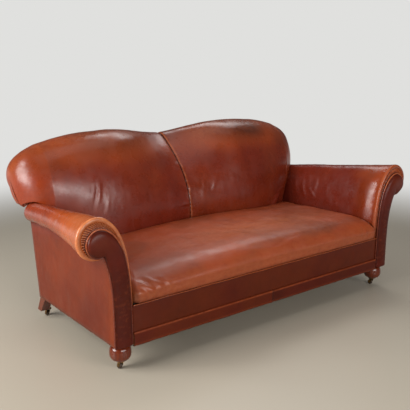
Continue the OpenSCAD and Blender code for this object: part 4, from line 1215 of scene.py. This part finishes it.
border_x = arm_x + pad_in_x - piping_out - piping_r
x = np.linspace(-border_x, border_x, 200)[:, None]
up = np.linspace(0, 1, 26)
grid = np.zeros((len(x), len(up), 3))
grid[..., 0] = x
grid[..., 2] = mix(base_high.z - 0.010, seam_z - 0.003, up)
inner = grid.copy()
inner[..., 1] = pad_y + hide_t + 0.004
slow = field(grid, 6.0, 4.4)
bulge = np.sin(pi * up) ** 0.6 * ease((border_x - abs(x)) / 0.04)
grid[..., 1] = pad_y + 0.002 - bulge * (0.003 + 0.0014 * slow)
border = mesh_object("front_border", strip_loft(grid, inner), hide_dark)
# painted shadow line at the bottom, above the base strip's ledge, and painted shade at the top, under the
# seat's nose
dark = 0.05 + 0.5 * ease((0.12 - up) / 0.12) + 0.3 * ease((up - 0.9) / 0.1)
paint_sheet(border, 0.2 + 0.4 * slow, dark, 0.0)
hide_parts("seat_front_border")


def base_cover(side, word):
    """Leather wrapped round the base strip, with rounded edges and a narrow ledge on top."""
    y0, y1, r = base_low.y, base_high.y, 0.005
    path = even(np.vstack([[[y1 - 0.002, base_low.z]],
                           on_circle((y0 + r, base_low.z + r), r, np.linspace(270, 180, 7)),
                           on_circle((y0 + r, base_high.z - r), r, np.linspace(180, 90, 7)),
                           [[y1, base_high.z]]]), 60)
    x = np.linspace(0.0004, border_x, 110)[:, None]
    outer = np.zeros((len(x), len(path), 3))
    outer[..., 0] = x
    outer[..., 1:] = path
    n = grid_normals(outer, (0.3, -3.0, 0.13))
    slow = field(on_side(outer, side), 8.0, 2.2 * side)
    # the left hide laps a little over the right one in the middle
    lip = 0.0012 * np.exp(-x / 0.012) * (1 if side < 0 else -0.6)
    outer = outer + n * (0.0010 * slow + lip)[..., None]
    inner = outer - n * 0.0022
    v = np.linspace(0, 1, len(path))
    red = (0.35 if side < 0 else 0.6) + 0.3 * slow
    dark = 0.35 * bump(x, 0.006) + 0.15 * ease((0.3 - v) / 0.3)
    if side > 0:
        dark = dark + 0.12 + 0.25 * bump(x - 0.02, 0.05)
    # painted highlights along the top front edge and the lower front edge
    wear_and_sheen = 0.6 * bump(v - 0.80, 0.05) + 0.25 * bump(v - 0.22, 0.05)
    ob = mesh_object("base_hide_" + word, strip_loft(outer, inner, side), hide_dark)
    paint_sheet(ob, red, dark, wear_and_sheen)
    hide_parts("base_cover_" + word)


for side, word in SIDES:
    base_cover(side, word)


# Turned bun feet
bun_low, bun_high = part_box("bun_feet")
bun_h = bun_high.z - bun_low.z
bun_r = (bun_high.y - bun_low.y) / 2
foot_y = (bun_high.y + bun_low.y) / 2
foot_x = bun_high.x - bun_r
outline = [(0.0045, 0), (0.019, 0), (0.0215, 0.0012), (0.0222, 0.003)]
outline += [(0.022 + (bun_r - 0.022) * (1 - abs(2 * t - 1) ** 2.4) ** 0.5, 0.005 + (bun_h - 0.010) * t)
            for t in (1 - np.cos(np.linspace(0.05, pi - 0.05, 40))) / 2]
outline += [(0.0255, bun_h - 0.003), (0.027, bun_h - 0.0015), (0.026, bun_h), (0.0045, bun_h)]
bun_sides = 64
turn = 2 * pi * np.arange(bun_sides) / bun_sides
for side, word in SIDES:
    rings = np.array([[(side * foot_x + r * cos(q), foot_y + r * sin(q), bun_low.z + h) for q in turn]
                      for r, h in outline])
    faces = grid_faces(len(outline), bun_sides, True)
    # the foot is pierced for its castor, so its ends are joined by the bore
    top = (len(outline) - 1) * bun_sides
    faces += [[j, (j + 1) % bun_sides, top + (j + 1) % bun_sides, top + j] for j in range(bun_sides)]
    foot = mesh_object("bun_foot_" + word, (rings.reshape(-1, 3), faces), show_wood)
    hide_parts("bun_feet")


scene.view_settings.view_transform = "Standard"
